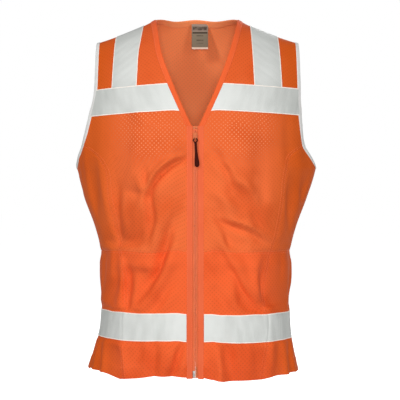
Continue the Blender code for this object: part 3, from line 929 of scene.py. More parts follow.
@dataclass(frozen=True)
class RibWeave:
    """Close woven cloth with fine ribs, for bindings, facings and zip tape."""

    name: str
    colour: Colour
    shade: Colour
    pitch: float = 0.0011
    roughness: float = 0.62
    sheen: float = 0.04

    def make(self) -> bpy.types.Material:
        """Build the material."""
        shop = NodeShop(self.name)
        pair, across, down = shop.cloth_plane()
        turn = 2 * math.pi / self.pitch
        ribs = (down * turn + (across * (turn * 0.5)).cos() * 0.8).cos() * 0.5 + 0.5
        fuzz = shop.noise(pair, 1400.0, 2.0)
        worn = shop.noise(shop.place(), 26.0, 3.0)
        mask = (1 - ribs) * 0.35 + fuzz * 0.25 + (worn - 0.5) * 0.5
        colour = shop.blend(mask.step(0.05, 0.75), self.colour, self.shade)
        return shop.surface(
            {"Base Color": colour, "Roughness": fuzz * 0.15 + self.roughness,
             "Normal": shop.bump(ribs * 0.7 + fuzz * 0.3, 0.00018, 0.6)},
            {"Sheen Weight": self.sheen, "Sheen Roughness": 0.5, "Specular IOR Level": 0.15})


@dataclass(frozen=True)
class BeadedTape:
    """Silver reflective tape: glass beads on cloth, matt grey with a pale selvedge, creases and
    painted side shade.
    """

    name: str = "silver_reflective_tape"
    colour: Colour = rgb(0.665, 0.680, 0.655)
    shade: Colour = rgb(0.500, 0.515, 0.490)
    selvedge: Colour = rgb(0.900, 0.820, 0.740)
    selvedge_width: float = 0.0018
    # where the painted shade towards the sides grows
    side_band: Band = (0.125, 0.165)

    def make(self) -> bpy.types.Material:
        """Build the material."""
        shop = NodeShop(self.name)
        pair, across, down = shop.cloth_plane()
        beads = shop.noise(pair, 5200.0, 1.0)
        weave = (across * 4200.0).cos() * (down * 4200.0).cos() * 0.5 + 0.5
        upright = shop.node("ShaderNodeMapping", {}, {"Vector": pair, "Scale": (34.0, 9.0, 1.0)})
        creases = shop.noise(upright, 1.0, 3.0)
        place = shop.place()
        blotch = shop.noise(place, 14.0, 4.0)
        # painted shade: the tape darkens towards the sides, as if the light fell off there
        beside = shop.parts(place)[0].size().step(*self.side_band)
        mask = ((beads - 0.5) * 0.5 + (blotch - 0.5) * 0.7 + (creases - 0.5) * 0.8
                + weave * 0.10 + beside * 0.25 + 0.22)
        colour = shop.blend(mask.step(0.0, 0.8), self.colour, self.shade)
        half = TAPE_WIDTH / 2
        rim = ((down - half).size() - (half - self.selvedge_width)).step(0.0, 0.0004)
        colour = shop.blend(rim, colour, self.selvedge)
        height = beads * 0.25 + weave * 0.25 + creases.step(0.40, 0.60) * 0.9 + rim * 0.4
        return shop.surface(
            {"Base Color": colour, "Roughness": blotch * 0.18 + 0.48,
             "Metallic": (1 - mask.step(0.2, 1.0)) * 0.08,
             "Normal": shop.bump(height, 0.0005, 0.5)},
            {"Specular IOR Level": 0.30, "Coat Roughness": 0.5})


@dataclass(frozen=True)
class Moulded:
    """Moulded, enamelled or cast piece: fine grain, and rubbed lighter or darker in places."""

    name: str
    colour: Colour
    worn: Colour
    roughness: float
    metallic: float = 0.0
    gloss: float = 0.5
    grain_scale: float = 900.0
    rub_scale: float = 260.0

    def make(self) -> bpy.types.Material:
        """Build the material."""
        shop = NodeShop(self.name)
        place = shop.place()
        grain = shop.noise(place, self.grain_scale, 3.0)
        rub = shop.noise(place, self.rub_scale, 2.0)
        colour = shop.blend(rub.step(0.45, 0.80), self.colour, self.worn)
        return shop.surface(
            {"Base Color": colour, "Roughness": rub * 0.18 + (self.roughness - 0.06),
             "Normal": shop.bump(grain, 0.00006, 0.4)},
            {"Metallic": self.metallic, "Coat Roughness": 0.2, "Specular IOR Level": self.gloss})


@dataclass(frozen=True)
class LabelRibbon:
    """Care label: grey ribbon, a darker head, plain bars in place of text and a white foot.

    The heights are metres down from the label's sewn edge.
    """

    name: str = "care_label_ribbon"
    head: Colour = rgb(0.280, 0.210, 0.160)
    ground: Colour = rgb(0.195, 0.160, 0.105)
    ink: Colour = rgb(0.040, 0.022, 0.012)
    white: Colour = rgb(0.800, 0.640, 0.500)
    half: float = 0.016
    soft: float = 0.0006
    rule: tuple[float, float] = (0.0150, 0.0188)
    bars: tuple[tuple[float, float, float], ...] = (
        (0.0212, 0.0240, 1.0), (0.0298, 0.0332, 1.0), (0.0362, 0.0385, 0.6))

    def bar(self, down: Wire, high: float, low: float) -> Wire:
        """1 between two heights of the label."""
        return down.step(high, high + self.soft) * (1 - down.step(low - self.soft, low))

    def make(self) -> bpy.types.Material:
        """Build the material."""
        shop = NodeShop(self.name)
        pair, across, down = shop.cloth_plane()
        thread = shop.noise(pair, 2600.0, 2.0)
        smudge = shop.noise(pair, 130.0, 2.0)
        middle = (across - self.half).size()
        inside = middle.step(0.0150, 0.0138)
        ground = shop.blend(down.step(0.0140, 0.0150), self.head, self.ground)
        head = down.step(0.0030, 0.0065) * (1 - down.step(0.0105, 0.0135))
        head = head * inside * (smudge.step(0.35, 0.60) * 0.45 + 0.50)
        ground = shop.blend(head, ground, self.ink)
        bars = sum(self.bar(down, high, low) * share for high, low, share in self.bars)
        column = middle.step(0.0075, 0.0060) * (smudge.step(0.30, 0.55) * 0.3 + 0.30)
        ground = shop.blend(bars * column, ground, self.ink)
        ground = shop.blend(self.bar(down, *self.rule) * inside, ground, self.ink)
        ground = shop.blend(down.step(0.0450, 0.0458), ground, self.white)
        colour = shop.blend(thread * 0.02, ground, self.white)
        return shop.surface(
            {"Base Color": colour, "Roughness": thread * 0.2 + 0.45,
             "Normal": shop.bump(thread, 0.0001, 0.5)},
            {"Specular IOR Level": 0.2})


UPPER_ORANGE = (rgb(0.820, 0.148, 0.036), rgb(0.640, 0.078, 0.009), rgb(0.540, 0.074, 0.014))
LOWER_ORANGE = (rgb(0.860, 0.124, 0.027), rgb(0.670, 0.068, 0.008), rgb(0.580, 0.064, 0.010))
# painted light: a paler copy of the orange for the knit's inner face, standing in for light that
# comes through the thin cloth
PAINTED_LIGHT_INNER_ORANGE = (rgb(1.000, 0.320, 0.120), rgb(0.960, 0.250, 0.080), rgb(1.000, 0.420, 0.200))


class Finish(Enum):
    """Every finish of the vest."""

    UPPER_KNIT = MeshKnit("orange_mesh_knit_upper", *UPPER_ORANGE, stretched_share=1.0)
    PLAIN_KNIT = MeshKnit("orange_mesh_knit_plain", *UPPER_ORANGE, patch_share=0.25)
    LOWER_KNIT = MeshKnit("orange_mesh_knit_lower", *LOWER_ORANGE)
    # painted light: the inner face of the back in the paler copy of the orange, with its own
    # painted side shade
    LINING_KNIT = MeshKnit("orange_mesh_knit_lining", *PAINTED_LIGHT_INNER_ORANGE,
                           side=rgb(0.900, 0.230, 0.060), clear=0.12)
    CORAL = RibWeave("coral_binding_weave", rgb(0.810, 0.138, 0.047), rgb(0.700, 0.098, 0.026))
    NECK = RibWeave("neck_binding_weave", rgb(0.850, 0.128, 0.030), rgb(0.700, 0.086, 0.014))
    # painted light: a paler copy of the neck binding for its inner face, which sits in shade
    NAPE = RibWeave("neck_binding_lining_weave", rgb(1.000, 0.340, 0.130),
                    rgb(0.930, 0.250, 0.085))
    WHITE = RibWeave("silver_white_binding_weave", rgb(0.760, 0.755, 0.735),
                     rgb(0.590, 0.580, 0.560))
    ZIP_CLOTH = RibWeave("zip_tape_weave", rgb(0.900, 0.230, 0.085), rgb(0.740, 0.150, 0.050),
                         0.0009)
    SILVER = BeadedTape()
    THREAD = Moulded("orange_thread", rgb(0.980, 0.230, 0.080), rgb(0.820, 0.140, 0.035), 0.60)
    PALE_THREAD = Moulded("pale_thread", rgb(0.720, 0.720, 0.690), rgb(0.480, 0.480, 0.450), 0.60)
    COIL = Moulded("zip_coil_nylon", rgb(0.860, 0.200, 0.075), rgb(0.620, 0.125, 0.040), 0.42)
    STOP = Moulded("zip_stop_enamel", rgb(0.620, 0.190, 0.075), rgb(0.460, 0.120, 0.045), 0.50,
                   gloss=0.15)
    ENAMEL = Moulded("slider_enamel", rgb(0.620, 0.145, 0.045), rgb(0.450, 0.095, 0.030), 0.48,
                     gloss=0.22)
    RUBBER = Moulded("pull_rubber_maroon", rgb(0.038, 0.0034, 0.0010),
                     rgb(0.075, 0.0095, 0.0040), 0.60, gloss=0.05)
    METAL = Moulded("zip_end_metal", rgb(0.330, 0.315, 0.300), rgb(0.150, 0.135, 0.125), 0.50,
                    metallic=0.85)
    LABEL = LabelRibbon()


# ------------------------------------------------------------------ making meshes
SEAM_DIP = {"l": 0.0006, "r": 0.0006, "t": 0.0007, "b": 0.0007}
SEAM_DIP_WIDTH = 0.0022
HEM_BULK = 0.00028             # half the extra thickness of a doubled hem
HEM_BULK_FADE = 0.0015
HEM_RIDGE = 0.0004
HEM_RIDGE_WIDTH = 0.003
LEAST_CROWN = 0.004            # keeps the rim of a rounded edge from closing to nothing


def arc_lengths(points: Array, axis: int) -> Array:
    """Distance along each line of a grid of points.

    Args:
        points: the grid.
        axis: 0 to measure down the grid, 1 to measure across it.

    Returns:
        Lengths from the grid's first edge.
    """
    steps = np.linalg.norm(np.diff(points, axis=axis), axis=-1)
    start = np.zeros_like(steps.take([0], axis=axis))
    return np.concatenate([start, np.cumsum(steps, axis=axis)], axis=axis)


def puckers(run: Array, over: Array) -> Array:
    """Small waves along a sewn tape, with a sharper pucker now and then.

    Args:
        run: metres along the tape.
        over: metres across it.

    Returns:
        Heights in ripples.
    """
    waves = np.sin(run * 210 + over * 45) + np.sin(run * 370 - over * 90 + 1.3)
    sharp = 1.4 * np.maximum(np.sin(run * 61 + over * 20 + 0.7), 0.86) * 7
    return 0.5 * (waves + sharp - 7.8)


def upright_grain(here: Array, across: Array) -> tuple[Array, Array]:
    """Cloth coordinates whose rows hang level, measured from the middle of the vest.

    Args:
        here: grid of points.
        across: distance along each row.

    Returns:
        Across and down, in metres.
    """
    from_middle = np.abs(here[..., 0])
    nearest = from_middle.argmin(axis=1)[:, None]
    across = (across - np.take_along_axis(across, nearest, axis=1)
              + np.take_along_axis(from_middle, nearest, axis=1))
    drop = np.hypot(np.diff(here[..., 1], axis=0), np.diff(here[..., 2], axis=0))
    return across, np.concatenate([-here[:1, :, 2], drop]).cumsum(axis=0)


@dataclass
class Maker:
    """Turns patches of the draped cloth into closed pieces and keeps their flat sizes."""

    finishes: dict[Finish, bpy.types.Material]
    flats: dict[str, tuple[float, float, float]] = field(default_factory=dict)
    reach: float = 0.004

    def lay(self, point: PointAt, u: Array, v: Array) -> tuple[Array, Array]:
        """Lay a patch.

        Args:
            point: the patch.
            u: first coordinates.
            v: second coordinates.

        Returns:
            Points of the patch and their outward normals.
        """
        here = point(u, v)
        near_u, far_u = np.maximum(u - self.reach, 0), np.minimum(u + self.reach, 1)
        near_v, far_v = np.maximum(v - self.reach, 0), np.minimum(v + self.reach, 1)
        normal = np.cross(point(far_u, v) - point(near_u, v), point(u, far_v) - point(u, near_v))
        normal /= np.linalg.norm(normal, axis=-1, keepdims=True) + 1e-12
        away = here - np.array([0.0, 0.0, HEM_Z / 2])
        facing = np.sign((normal * away).sum(axis=-1, keepdims=True))
        return here, normal * np.where(facing == 0, 1, facing)

    def slab(self, name: str, point: PointAt, columns: int, rows: int, thick: float,
             finish: Finish, layer: float = 0.0, crown: int = 0, rolled: str = "",
             hem: float = 0.0, ripple: float = 0.0, straight: bool = False,
             turned: bool = False, lining: Finish | None = None) -> bpy.types.Object:
        """A closed piece of cloth on a patch.

        Args:
            name: piece name.
            point: patch, from (u, v) in 0..1 to points.
            columns: steps along u.
            rows: steps along v.
            thick: thickness of the cloth.
            finish: finish.
            layer: height of the cloth's middle above the patch.
            crown: 0 for flat edges, or the power of the rounding towards u = 0 and 1.
            rolled: edges sewn to a neighbour, which dip into the seam: any of l, r, t, b.
            hem: depth of a turned-up hem at v = 1, where the cloth is doubled.
            ripple: height of the small puckers along a sewn tape.
            straight: True if the cloth's grain hangs upright rather than along its edges.
            turned: True if the cloth's length runs along v.
            lining: finish of the inner face, if it differs: a paler copy that paints light on it.

        Returns:
            The object.
        """
        k = np.linspace(0, 1, columns + 1)
        u_line = (1 - np.cos(math.pi * k)) / 2 if crown else k
        u, v = np.meshgrid(u_line, np.linspace(0, 1, rows + 1))
        here, normal = self.lay(point, u, v)
        across, down = arc_lengths(here, 1), arc_lengths(here, 0)
        width, length = across[:, -1:], down[-1:, :]
        half, middle = np.full(u.shape, thick / 2), np.full(u.shape, layer)
        if crown:
            half = half * np.sqrt(np.maximum(1 - np.abs(2 * u - 1) ** crown, LEAST_CROWN))
        distance = {"l": across, "r": width - across, "t": down, "b": length - down}
        for edge in rolled:
            middle = middle - SEAM_DIP[edge] * np.exp(-((distance[edge] / SEAM_DIP_WIDTH) ** 2))
        if hem:
            half = half + HEM_BULK * smooth(hem + HEM_BULK_FADE, hem, distance["b"])
            middle = middle + HEM_RIDGE * np.exp(-(((distance["b"] - hem) / HEM_RIDGE_WIDTH) ** 2))
        if ripple:
            run, over = (down, across) if turned else (across, down)
            middle = middle + ripple * puckers(run, over)
        outer = here + normal * (middle + half)[..., None]
        inner = here + normal * (middle - half)[..., None]
        cells = np.cross(here[1:, :-1] - here[:-1, :-1], here[:-1, 1:] - here[:-1, :-1])
        area = float(np.linalg.norm(cells, axis=-1).sum())
        self.flats[name] = (float(width.max()), float(length.max()), area)
        if straight:
            across, down = upright_grain(here, across)
        if ripple and turned:
            across = across / width * TAPE_WIDTH
        elif ripple:
            down = down / length * TAPE_WIDTH
        plane = np.stack([down, across] if turned else [across, down], axis=-1)
        return self.close(name, outer, inner, normal, plane, finish, lining)

    def close(self, name: str, outer: Array, inner: Array, normal: Array, plane: Array,
              finish: Finish, lining: Finish | None = None) -> bpy.types.Object:
        """Join two layers of points into one closed mesh.

        Args:
            name: piece name.
            outer: grid of points of the outer face.
            inner: grid of points of the inner face.
            normal: outward normals of the grid.
            plane: the cloth's own coordinates at each point.
            finish: finish of the outer face and the rim.
            lining: finish of the inner face, if it differs: a paler copy that paints light on it.

        Returns:
            The object.
        """
        rows, columns = outer.shape[0] - 1, outer.shape[1] - 1
        number = np.arange((rows + 1) * (columns + 1)).reshape(rows + 1, columns + 1)
        grid = np.stack([number[:-1, :-1].ravel(), number[:-1, 1:].ravel(),
                         number[1:, 1:].ravel(), number[1:, :-1].ravel()], axis=1)
        count = number.size
        rim = np.concatenate([number[0, :], number[1:, -1], number[-1, -2::-1],
                              number[-2:0:-1, 0]])
        ahead = np.roll(rim, -1)
        wall = np.stack([ahead, rim, rim + count, ahead + count], axis=1)
        faces = np.concatenate([grid, grid[:, ::-1] + count, wall])
        i, j = rows // 2, columns // 2
        turn = np.cross(outer[i, j + 1] - outer[i, j], outer[i + 1, j] - outer[i, j])
        if float(turn @ normal[i, j]) <= 0:
            faces = faces[:, ::-1]
        mesh = bpy.data.meshes.new(name)
        points = np.concatenate([outer.reshape(-1, 3), inner.reshape(-1, 3)])
        mesh.from_pydata(points.tolist(), [], faces.tolist())
        plane = np.tile(plane.reshape(-1, 2), (2, 1))
        corners = np.zeros(len(mesh.loops), dtype=np.int32)
        mesh.loops.foreach_get("vertex_index", corners)
        layer = mesh.uv_layers.new(name="cloth")
        layer.data.foreach_set("uv", plane[corners].astype(np.float32).ravel())
        mesh.materials.append(self.finishes[finish])
        if lining:
            mesh.materials.append(self.finishes[lining])
            which = np.zeros(len(faces), dtype=np.int32)
            which[len(grid):2 * len(grid)] = 1
            mesh.polygons.foreach_set("material_index", which)
        mesh.shade_smooth()
        mesh.set_sharp_from_angle(angle=math.radians(50))
        return put(name + LOOK, mesh)

    def sheet(self, obj: bpy.types.Object, with_pieces: Sequence[bpy.types.Object] = ()) -> None:
        """Take a piece of hanging cloth and the pieces sewn to it; nothing is done with them.

        Args:
            obj: the piece; not used.
            with_pieces: the pieces sewn to it; not used.
        """


def follow(obj: bpy.types.Object, how: Ride, side: Side | None = None) -> None:
    """Attach a piece to the body that it moves with; a yoke or panel piece, meant to bend between
    two, is only baked in place.

    Args:
        obj: the finished piece.
        how: the way that it rides.
        side: which front it belongs to, if any.
    """
    if how in (Ride.YOKE, Ride.PANEL):
        side.front
        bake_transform(obj)
    else:
        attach(obj, side.front if how is Ride.FRONT else how.value)
    LOG.info("%s: %s, %d faces", obj.name, how.name, len(obj.data.polygons))


# ------------------------------------------------------------------ the pattern's edges
CHANNEL_HALF = 0.0047          # facing edge to the centre line
FACING_WIDTH = 0.0108
FRONT_EDGE = CHANNEL_HALF + FACING_WIDTH
TUCK = 0.82                    # cloth starts this many binding widths in from the armhole's rim
UNDERLAP = 0.0015              # cloth runs this far under the neck binding
START = 0.002                  # share of the way down at which cloth starts beside a shoulder seam
UNDERARM_Z = float(FORM.armhole(math.pi / 2, TUCK)[1])
PRINCESS_TOP_Z = -0.2375       # where the princess seam leaves the armhole
LOWER_HEIGHT = HEM_Z - WAIST_SEAM_Z
STITCH_ENDS = (0.004, 0.996)   # stitch lines stop just short of a piece's ends
STITCH_LIFT = 0.0006           # the thread's middle above the middle of a panel's cloth


def cloth_edge(z: Array) -> Array:
    """Angle of the cloth's outer edge: under the armhole binding, then at the side seam."""
    return FORM.armhole(FORM.armhole_turn(z, TUCK), TUCK)[0] - 0.0006


def cloth_edge_x(z: Array, share: Any = 1.0) -> Array:
    """Half-width of the form at a share of the cloth edge's angle."""
    return FORM.half_width(z) * np.sin(share * cloth_edge(z)) ** (2 / FORM.power)


def princess_angle(z: Array, gap: float) -> Array:
    """Angle of the princess seam, `gap` metres off its line."""
    return FORM.angle_at(FORM.princess(z) + gap, z)


@dataclass(frozen=True)
class Seam:
    """How stitches ride, and their thread."""

    how: Ride
    side: Side | None
    thread: Finish

    @property
    def piece(self) -> str:
        """Name of the piece that its stitches make."""
        word = f"{self.side.word}_" if self.side else ""
        return f"{word}{self.how.name.lower()}_{self.thread.name.lower()}_stitches"


@dataclass
class Stitching:
    """Stitch lines gathered by seam, to be sewn as one piece each."""

    maker: Maker
    lines: dict[Seam, list[Array]] = field(default_factory=dict)

    def run(self, seam: Seam, point: PointAt, u: Any, v: Any, height: float) -> None:
        """Add a line of stitches across a patch.

        Args:
            seam: how the line rides, and its thread.
            point: the patch.
            u: u along the line, a number or an array.
            v: v along the line, a number or an array.
            height: height of the thread above the patch.
        """
        u, v = np.broadcast_arrays(np.asarray(u, float), np.asarray(v, float))
        here, normal = self.maker.lay(point, u, v)
        self.lines.setdefault(seam, []).append(here + normal * height)


class Repeater:
    """Geometry Nodes that repeat a bead along lines, for stitches and the turns of a coil."""

    def __init__(self) -> None:
        """Build the node group, with its named inputs."""
        self.tree = bpy.data.node_groups.new("beads_along_lines", "GeometryNodeTree")
        sockets = self.tree.interface
        sockets.new_socket("Lines", in_out="INPUT", socket_type="NodeSocketGeometry")
        self.inputs = {name: sockets.new_socket(name, in_out="INPUT", socket_type=kind).identifier
                       for name, kind in (("Spacing", "NodeSocketFloat"),
                                          ("Bead", "NodeSocketVector"),
                                          ("Finish", "NodeSocketMaterial"),
                                          ("Seed", "NodeSocketInt"))}
        sockets.new_socket("Beads", in_out="OUTPUT", socket_type="NodeSocketGeometry")
        new, link = self.tree.nodes.new, self.tree.links.new
        entry, leave = new("NodeGroupInput"), new("NodeGroupOutput")
        curve, even = new("GeometryNodeMeshToCurve"), new("GeometryNodeResampleCurve")
        even.mode = "LENGTH"
        bead = new("GeometryNodeMeshIcoSphere")
        bead.inputs["Radius"].default_value = 0.5
        bead.inputs["Subdivisions"].default_value = 1
        tangent, turn = new("GeometryNodeInputTangent"), new("FunctionNodeAlignRotationToVector")
        turn.axis = "Z"
        vary, grow = new("FunctionNodeRandomValue"), new("ShaderNodeVectorMath")
        vary.inputs[2].default_value, vary.inputs[3].default_value = 0.88, 1.08
        grow.operation = "SCALE"
        place, real = new("GeometryNodeInstanceOnPoints"), new("GeometryNodeRealizeInstances")
        paint = new("GeometryNodeSetMaterial")
        for start, end in (
                (entry.outputs["Lines"], curve.inputs[0]), (curve.outputs[0], even.inputs[0]),
                (entry.outputs["Spacing"], even.inputs["Length"]),
                (even.outputs[0], place.inputs["Points"]),
                (bead.outputs[0], place.inputs["Instance"]),
                (tangent.outputs[0], turn.inputs["Vector"]),
                (turn.outputs[0], place.inputs["Rotation"]),
                (entry.outputs["Seed"], vary.inputs["Seed"]),
                (entry.outputs["Bead"], grow.inputs[0]), (vary.outputs[1], grow.inputs["Scale"]),
                (grow.outputs[0], place.inputs["Scale"]), (place.outputs[0], real.inputs[0]),
                (real.outputs[0], paint.inputs["Geometry"]),
                (entry.outputs["Finish"], paint.inputs["Material"]),
                (paint.outputs[0], leave.inputs[0])):
            link(start, end)

    def make(self, name: str, lines: Sequence[Array], spacing: float,
             bead: tuple[float, float, float], finish: bpy.types.Material) -> bpy.types.Object:
        """Repeat beads along lines.

        Args:
            name: piece name.
            lines: arrays of points.
            spacing: distance between beads.
            bead: size across, across and along the line.
            finish: material.

        Returns:
            The object, a plain mesh.
        """
        edges, first = [], 0
        for line in lines:
            edges += [(first + k, first + k + 1) for k in range(len(line) - 1)]
            first += len(line)
        mesh = bpy.data.meshes.new(name)
        mesh.from_pydata(np.concatenate(lines).tolist(), edges, [])
        obj = put(name, mesh)
        nodes = obj.modifiers.new("beads", "NODES")
        nodes.node_group = self.tree
        for key, value in (("Spacing", spacing), ("Bead", bead), ("Finish", finish), ("Seed", 7)):
            nodes[self.inputs[key]] = value
        made = plain_mesh(obj)
        obj.modifiers.clear()
        obj.data = made
        made.name = name
        made.shade_smooth()
        return obj


# ------------------------------------------------------------------ sub-assemblies
@dataclass
class Shop:
    """What every sub-assembly works with."""

    maker: Maker
    stitching: Stitching
    repeater: Repeater
    pieces: dict[str, bpy.types.Object] = field(default_factory=dict)

    def keep(self, obj: bpy.types.Object, how: Ride, side: Side | None, slot: str,
             *nodes: str) -> None:
        """Give a finished piece its ride, hide the CAD nodes that it stands for and keep the piece.

        Args:
            obj: the piece.
            how: the way that it rides.
            side: which front it belongs to, if any.
            slot: the part's material slot; not used.
            nodes: CAD nodes, if their name isn't the piece's own.
        """
        name = obj.name.removesuffix(LOOK)
        follow(obj, how, side)
        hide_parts(*(nodes or (name,)))
        self.pieces[name] = obj


@dataclass(frozen=True)
class BackPanels:
    """The back, above and below the waist seam."""

    shop: Shop
    thick: float = 0.0008
    hem: float = 0.020

    def upper(self, u: Array, v: Array) -> Array:
        """Patch from the shoulders and the nape down to the waist seam.

        Args:
            u: 0 at the left edge, 1 at the right edge.
            v: 0 at the top; the armhole's turn is from 0.5 to 0.75 and the waist seam at 1.

        Returns:
            Points.
        """
        spread = 2 * u - 1
        below = FORM.neck_binding - UNDERLAP
        _, high = hang(lambda z: cloth_edge_x(z, np.abs(spread)), ease(np.clip(v * 2, START, 1)),
                       FORM.armhole_turn_z,
                       lambda x: FORM.nape(x, FORM.neck_half + below, FORM.nape_drop + below))
        turn = np.clip((v - 0.5) / 0.25, 0, 1) * math.pi / 2
        mid = FORM.armhole(turn, TUCK)[1]
        low = mix(UNDERARM_Z, WAIST_SEAM_Z + SEAM, np.clip((v - 0.75) / 0.25, 0, 1))
        z = np.where(v < 0.5, high, np.where(v < 0.75, mid, low))
        return DRAPE.point(math.pi - spread * cloth_edge(z), z)

    def lower(self, u: Array, v: Array) -> Array:
        """Patch from the waist seam to the hem."""
        z = mix(WAIST_SEAM_Z - SEAM, HEM_Z, v)
        return DRAPE.point(math.pi - (2 * u - 1) * cloth_edge(z), z)

    def build(self) -> None:
        """Make both panels and their stitches."""
        make, keep = self.shop.maker, self.shop.keep
        # the panel's inner face gets painted light: a paler copy of the knit, standing in for light
        # through the thin cloth
        keep(make.slab("back_upper_panel", self.upper, 150, 140, self.thick, Finish.PLAIN_KNIT,
                       rolled="b", straight=True, lining=Finish.LINING_KNIT),
             Ride.FIXED, None, "orange_mesh")
        keep(make.slab("back_lower_panel", self.lower, 140, 84, self.thick, Finish.LOWER_KNIT,
                       rolled="t", hem=self.hem, straight=True),
             Ride.FIXED, None, "orange_mesh")
        for patch, v in ((self.upper, 0.995), (self.lower, -0.0022 / LOWER_HEIGHT),
                         (self.lower, 1 + self.hem / LOWER_HEIGHT)):
            self.shop.stitching.run(Seam(Ride.FIXED, None, Finish.THREAD), patch,
                                    np.linspace(*STITCH_ENDS, 160), v, STITCH_LIFT)


@dataclass(frozen=True)
class FrontPanels:
    """One front: yoke, and the centre and side panels above and below the waist."""

    shop: Shop
    side: Side
    thick: float = 0.0008
    hem: float = 0.020
    topstitch_gaps: tuple[float, float] = (0.014, 0.060)

    def yoke(self, u: Array, v: Array) -> Array:
        """Patch from the shoulder to the level of the V's foot."""
        x, z = hang(lambda z: mix(FORM.v_edge(z) + FORM.v_binding - UNDERLAP, cloth_edge_x(z), u),
                    ease(np.maximum(v, START)), V_BOTTOM_Z)
        return DRAPE.at_x(self.side.value * x, z)

    def heights(self, v: Array) -> Array:
        """Heights of the rows between the armhole and the waist, alike on both panels."""
        start = FORM.armhole_turn(PRINCESS_TOP_Z - 2 * SEAM, TUCK)
        high = FORM.armhole(mix(start, math.pi / 2, np.clip(v * 2, 0, 1)), TUCK)[1]
        return np.where(v < 0.5, high, mix(UNDERARM_Z, WAIST_SEAM_Z + SEAM, v * 2 - 1))

    def centre_at(self, z: Array, u: Array) -> Array:
        """Centre panel between the facing and the princess seam, at height z."""
        near = FORM.angle_at(np.full_like(z, FRONT_EDGE - 0.0008), z)
        far = np.minimum(princess_angle(z, -SEAM), cloth_edge(z))
        return DRAPE.point(self.side.value * mix(near, far, u), z)

    def side_at(self, z: Array, u: Array) -> Array:
        """Side panel between the princess seam and the side seam, at height z."""
        near = np.minimum(princess_angle(z, SEAM), cloth_edge(z) - 0.004)
        return DRAPE.point(self.side.value * mix(near, cloth_edge(z), u), z)

    def upper(self, u: Array, v: Array) -> Array:
        """Centre panel above the waist."""
        high = mix(V_BOTTOM_Z, PRINCESS_TOP_Z - 2 * SEAM, np.clip(v * 5, 0, 1))
        z = np.where(v < 0.2, high, self.heights(np.clip((v - 0.2) / 0.8, 0, 1)))
        return self.centre_at(z, u)

    def lower(self, u: Array, v: Array) -> Array:
        """Centre panel below the waist."""
        return self.centre_at(mix(WAIST_SEAM_Z - SEAM, HEM_Z, v), u)

    def side_upper(self, u: Array, v: Array) -> Array:
        """Side panel above the waist."""
        return self.side_at(self.heights(v), u)

    def side_lower(self, u: Array, v: Array) -> Array:
        """Side panel below the waist."""
        return self.side_at(mix(WAIST_SEAM_Z - SEAM, HEM_Z, v), u)

    def build(self) -> None:
        """Make the five panels and their stitches."""
        upper, lower = Finish.UPPER_KNIT, Finish.LOWER_KNIT
        for name, patch, columns, rows, finish, rolled, how in (
                ("front_yoke", self.yoke, 56, 84, upper, "", Ride.YOKE),
                ("front_upper_panel", self.upper, 72, 100, upper, "br", Ride.PANEL),
                ("front_lower_panel", self.lower, 56, 90, lower, "tr", Ride.PANEL),
                ("side_upper_panel", self.side_upper, 44, 84, upper, "bl", Ride.PANEL),
                ("side_lower_panel", self.side_lower, 50, 90, lower, "tl", Ride.PANEL)):
            hem = self.hem if finish is lower else 0.0
            obj = self.shop.maker.slab(f"{self.side.word}_{name}", patch, columns, rows,
                                       self.thick, finish, rolled=rolled, hem=hem, straight=True)
            self.shop.keep(obj, how, self.side, "orange_mesh")
        self.stitch()

    def stitch(self) -> None:
        """Stitch the waist seam, the hem and the princess seam."""
        line = np.linspace(*STITCH_ENDS, 70)
        lines = [(patch, line, v) for patch in (self.lower, self.side_lower)
                 for v in (-0.0022 / LOWER_HEIGHT, 1 + self.hem / LOWER_HEIGHT)]
        lines += [(patch, line, 0.994) for patch in (self.upper, self.side_upper)]
        for gap in self.topstitch_gaps:
            lines += [(self.upper, 1 - gap, np.linspace(0.22, 0.995, 90)),
                      (self.lower, 1 - gap, np.linspace(0.005, 0.995, 90))]
        for patch, u, v in lines:
            self.shop.stitching.run(Seam(Ride.PANEL, self.side, Finish.THREAD), patch, u, v,
                                    STITCH_LIFT)


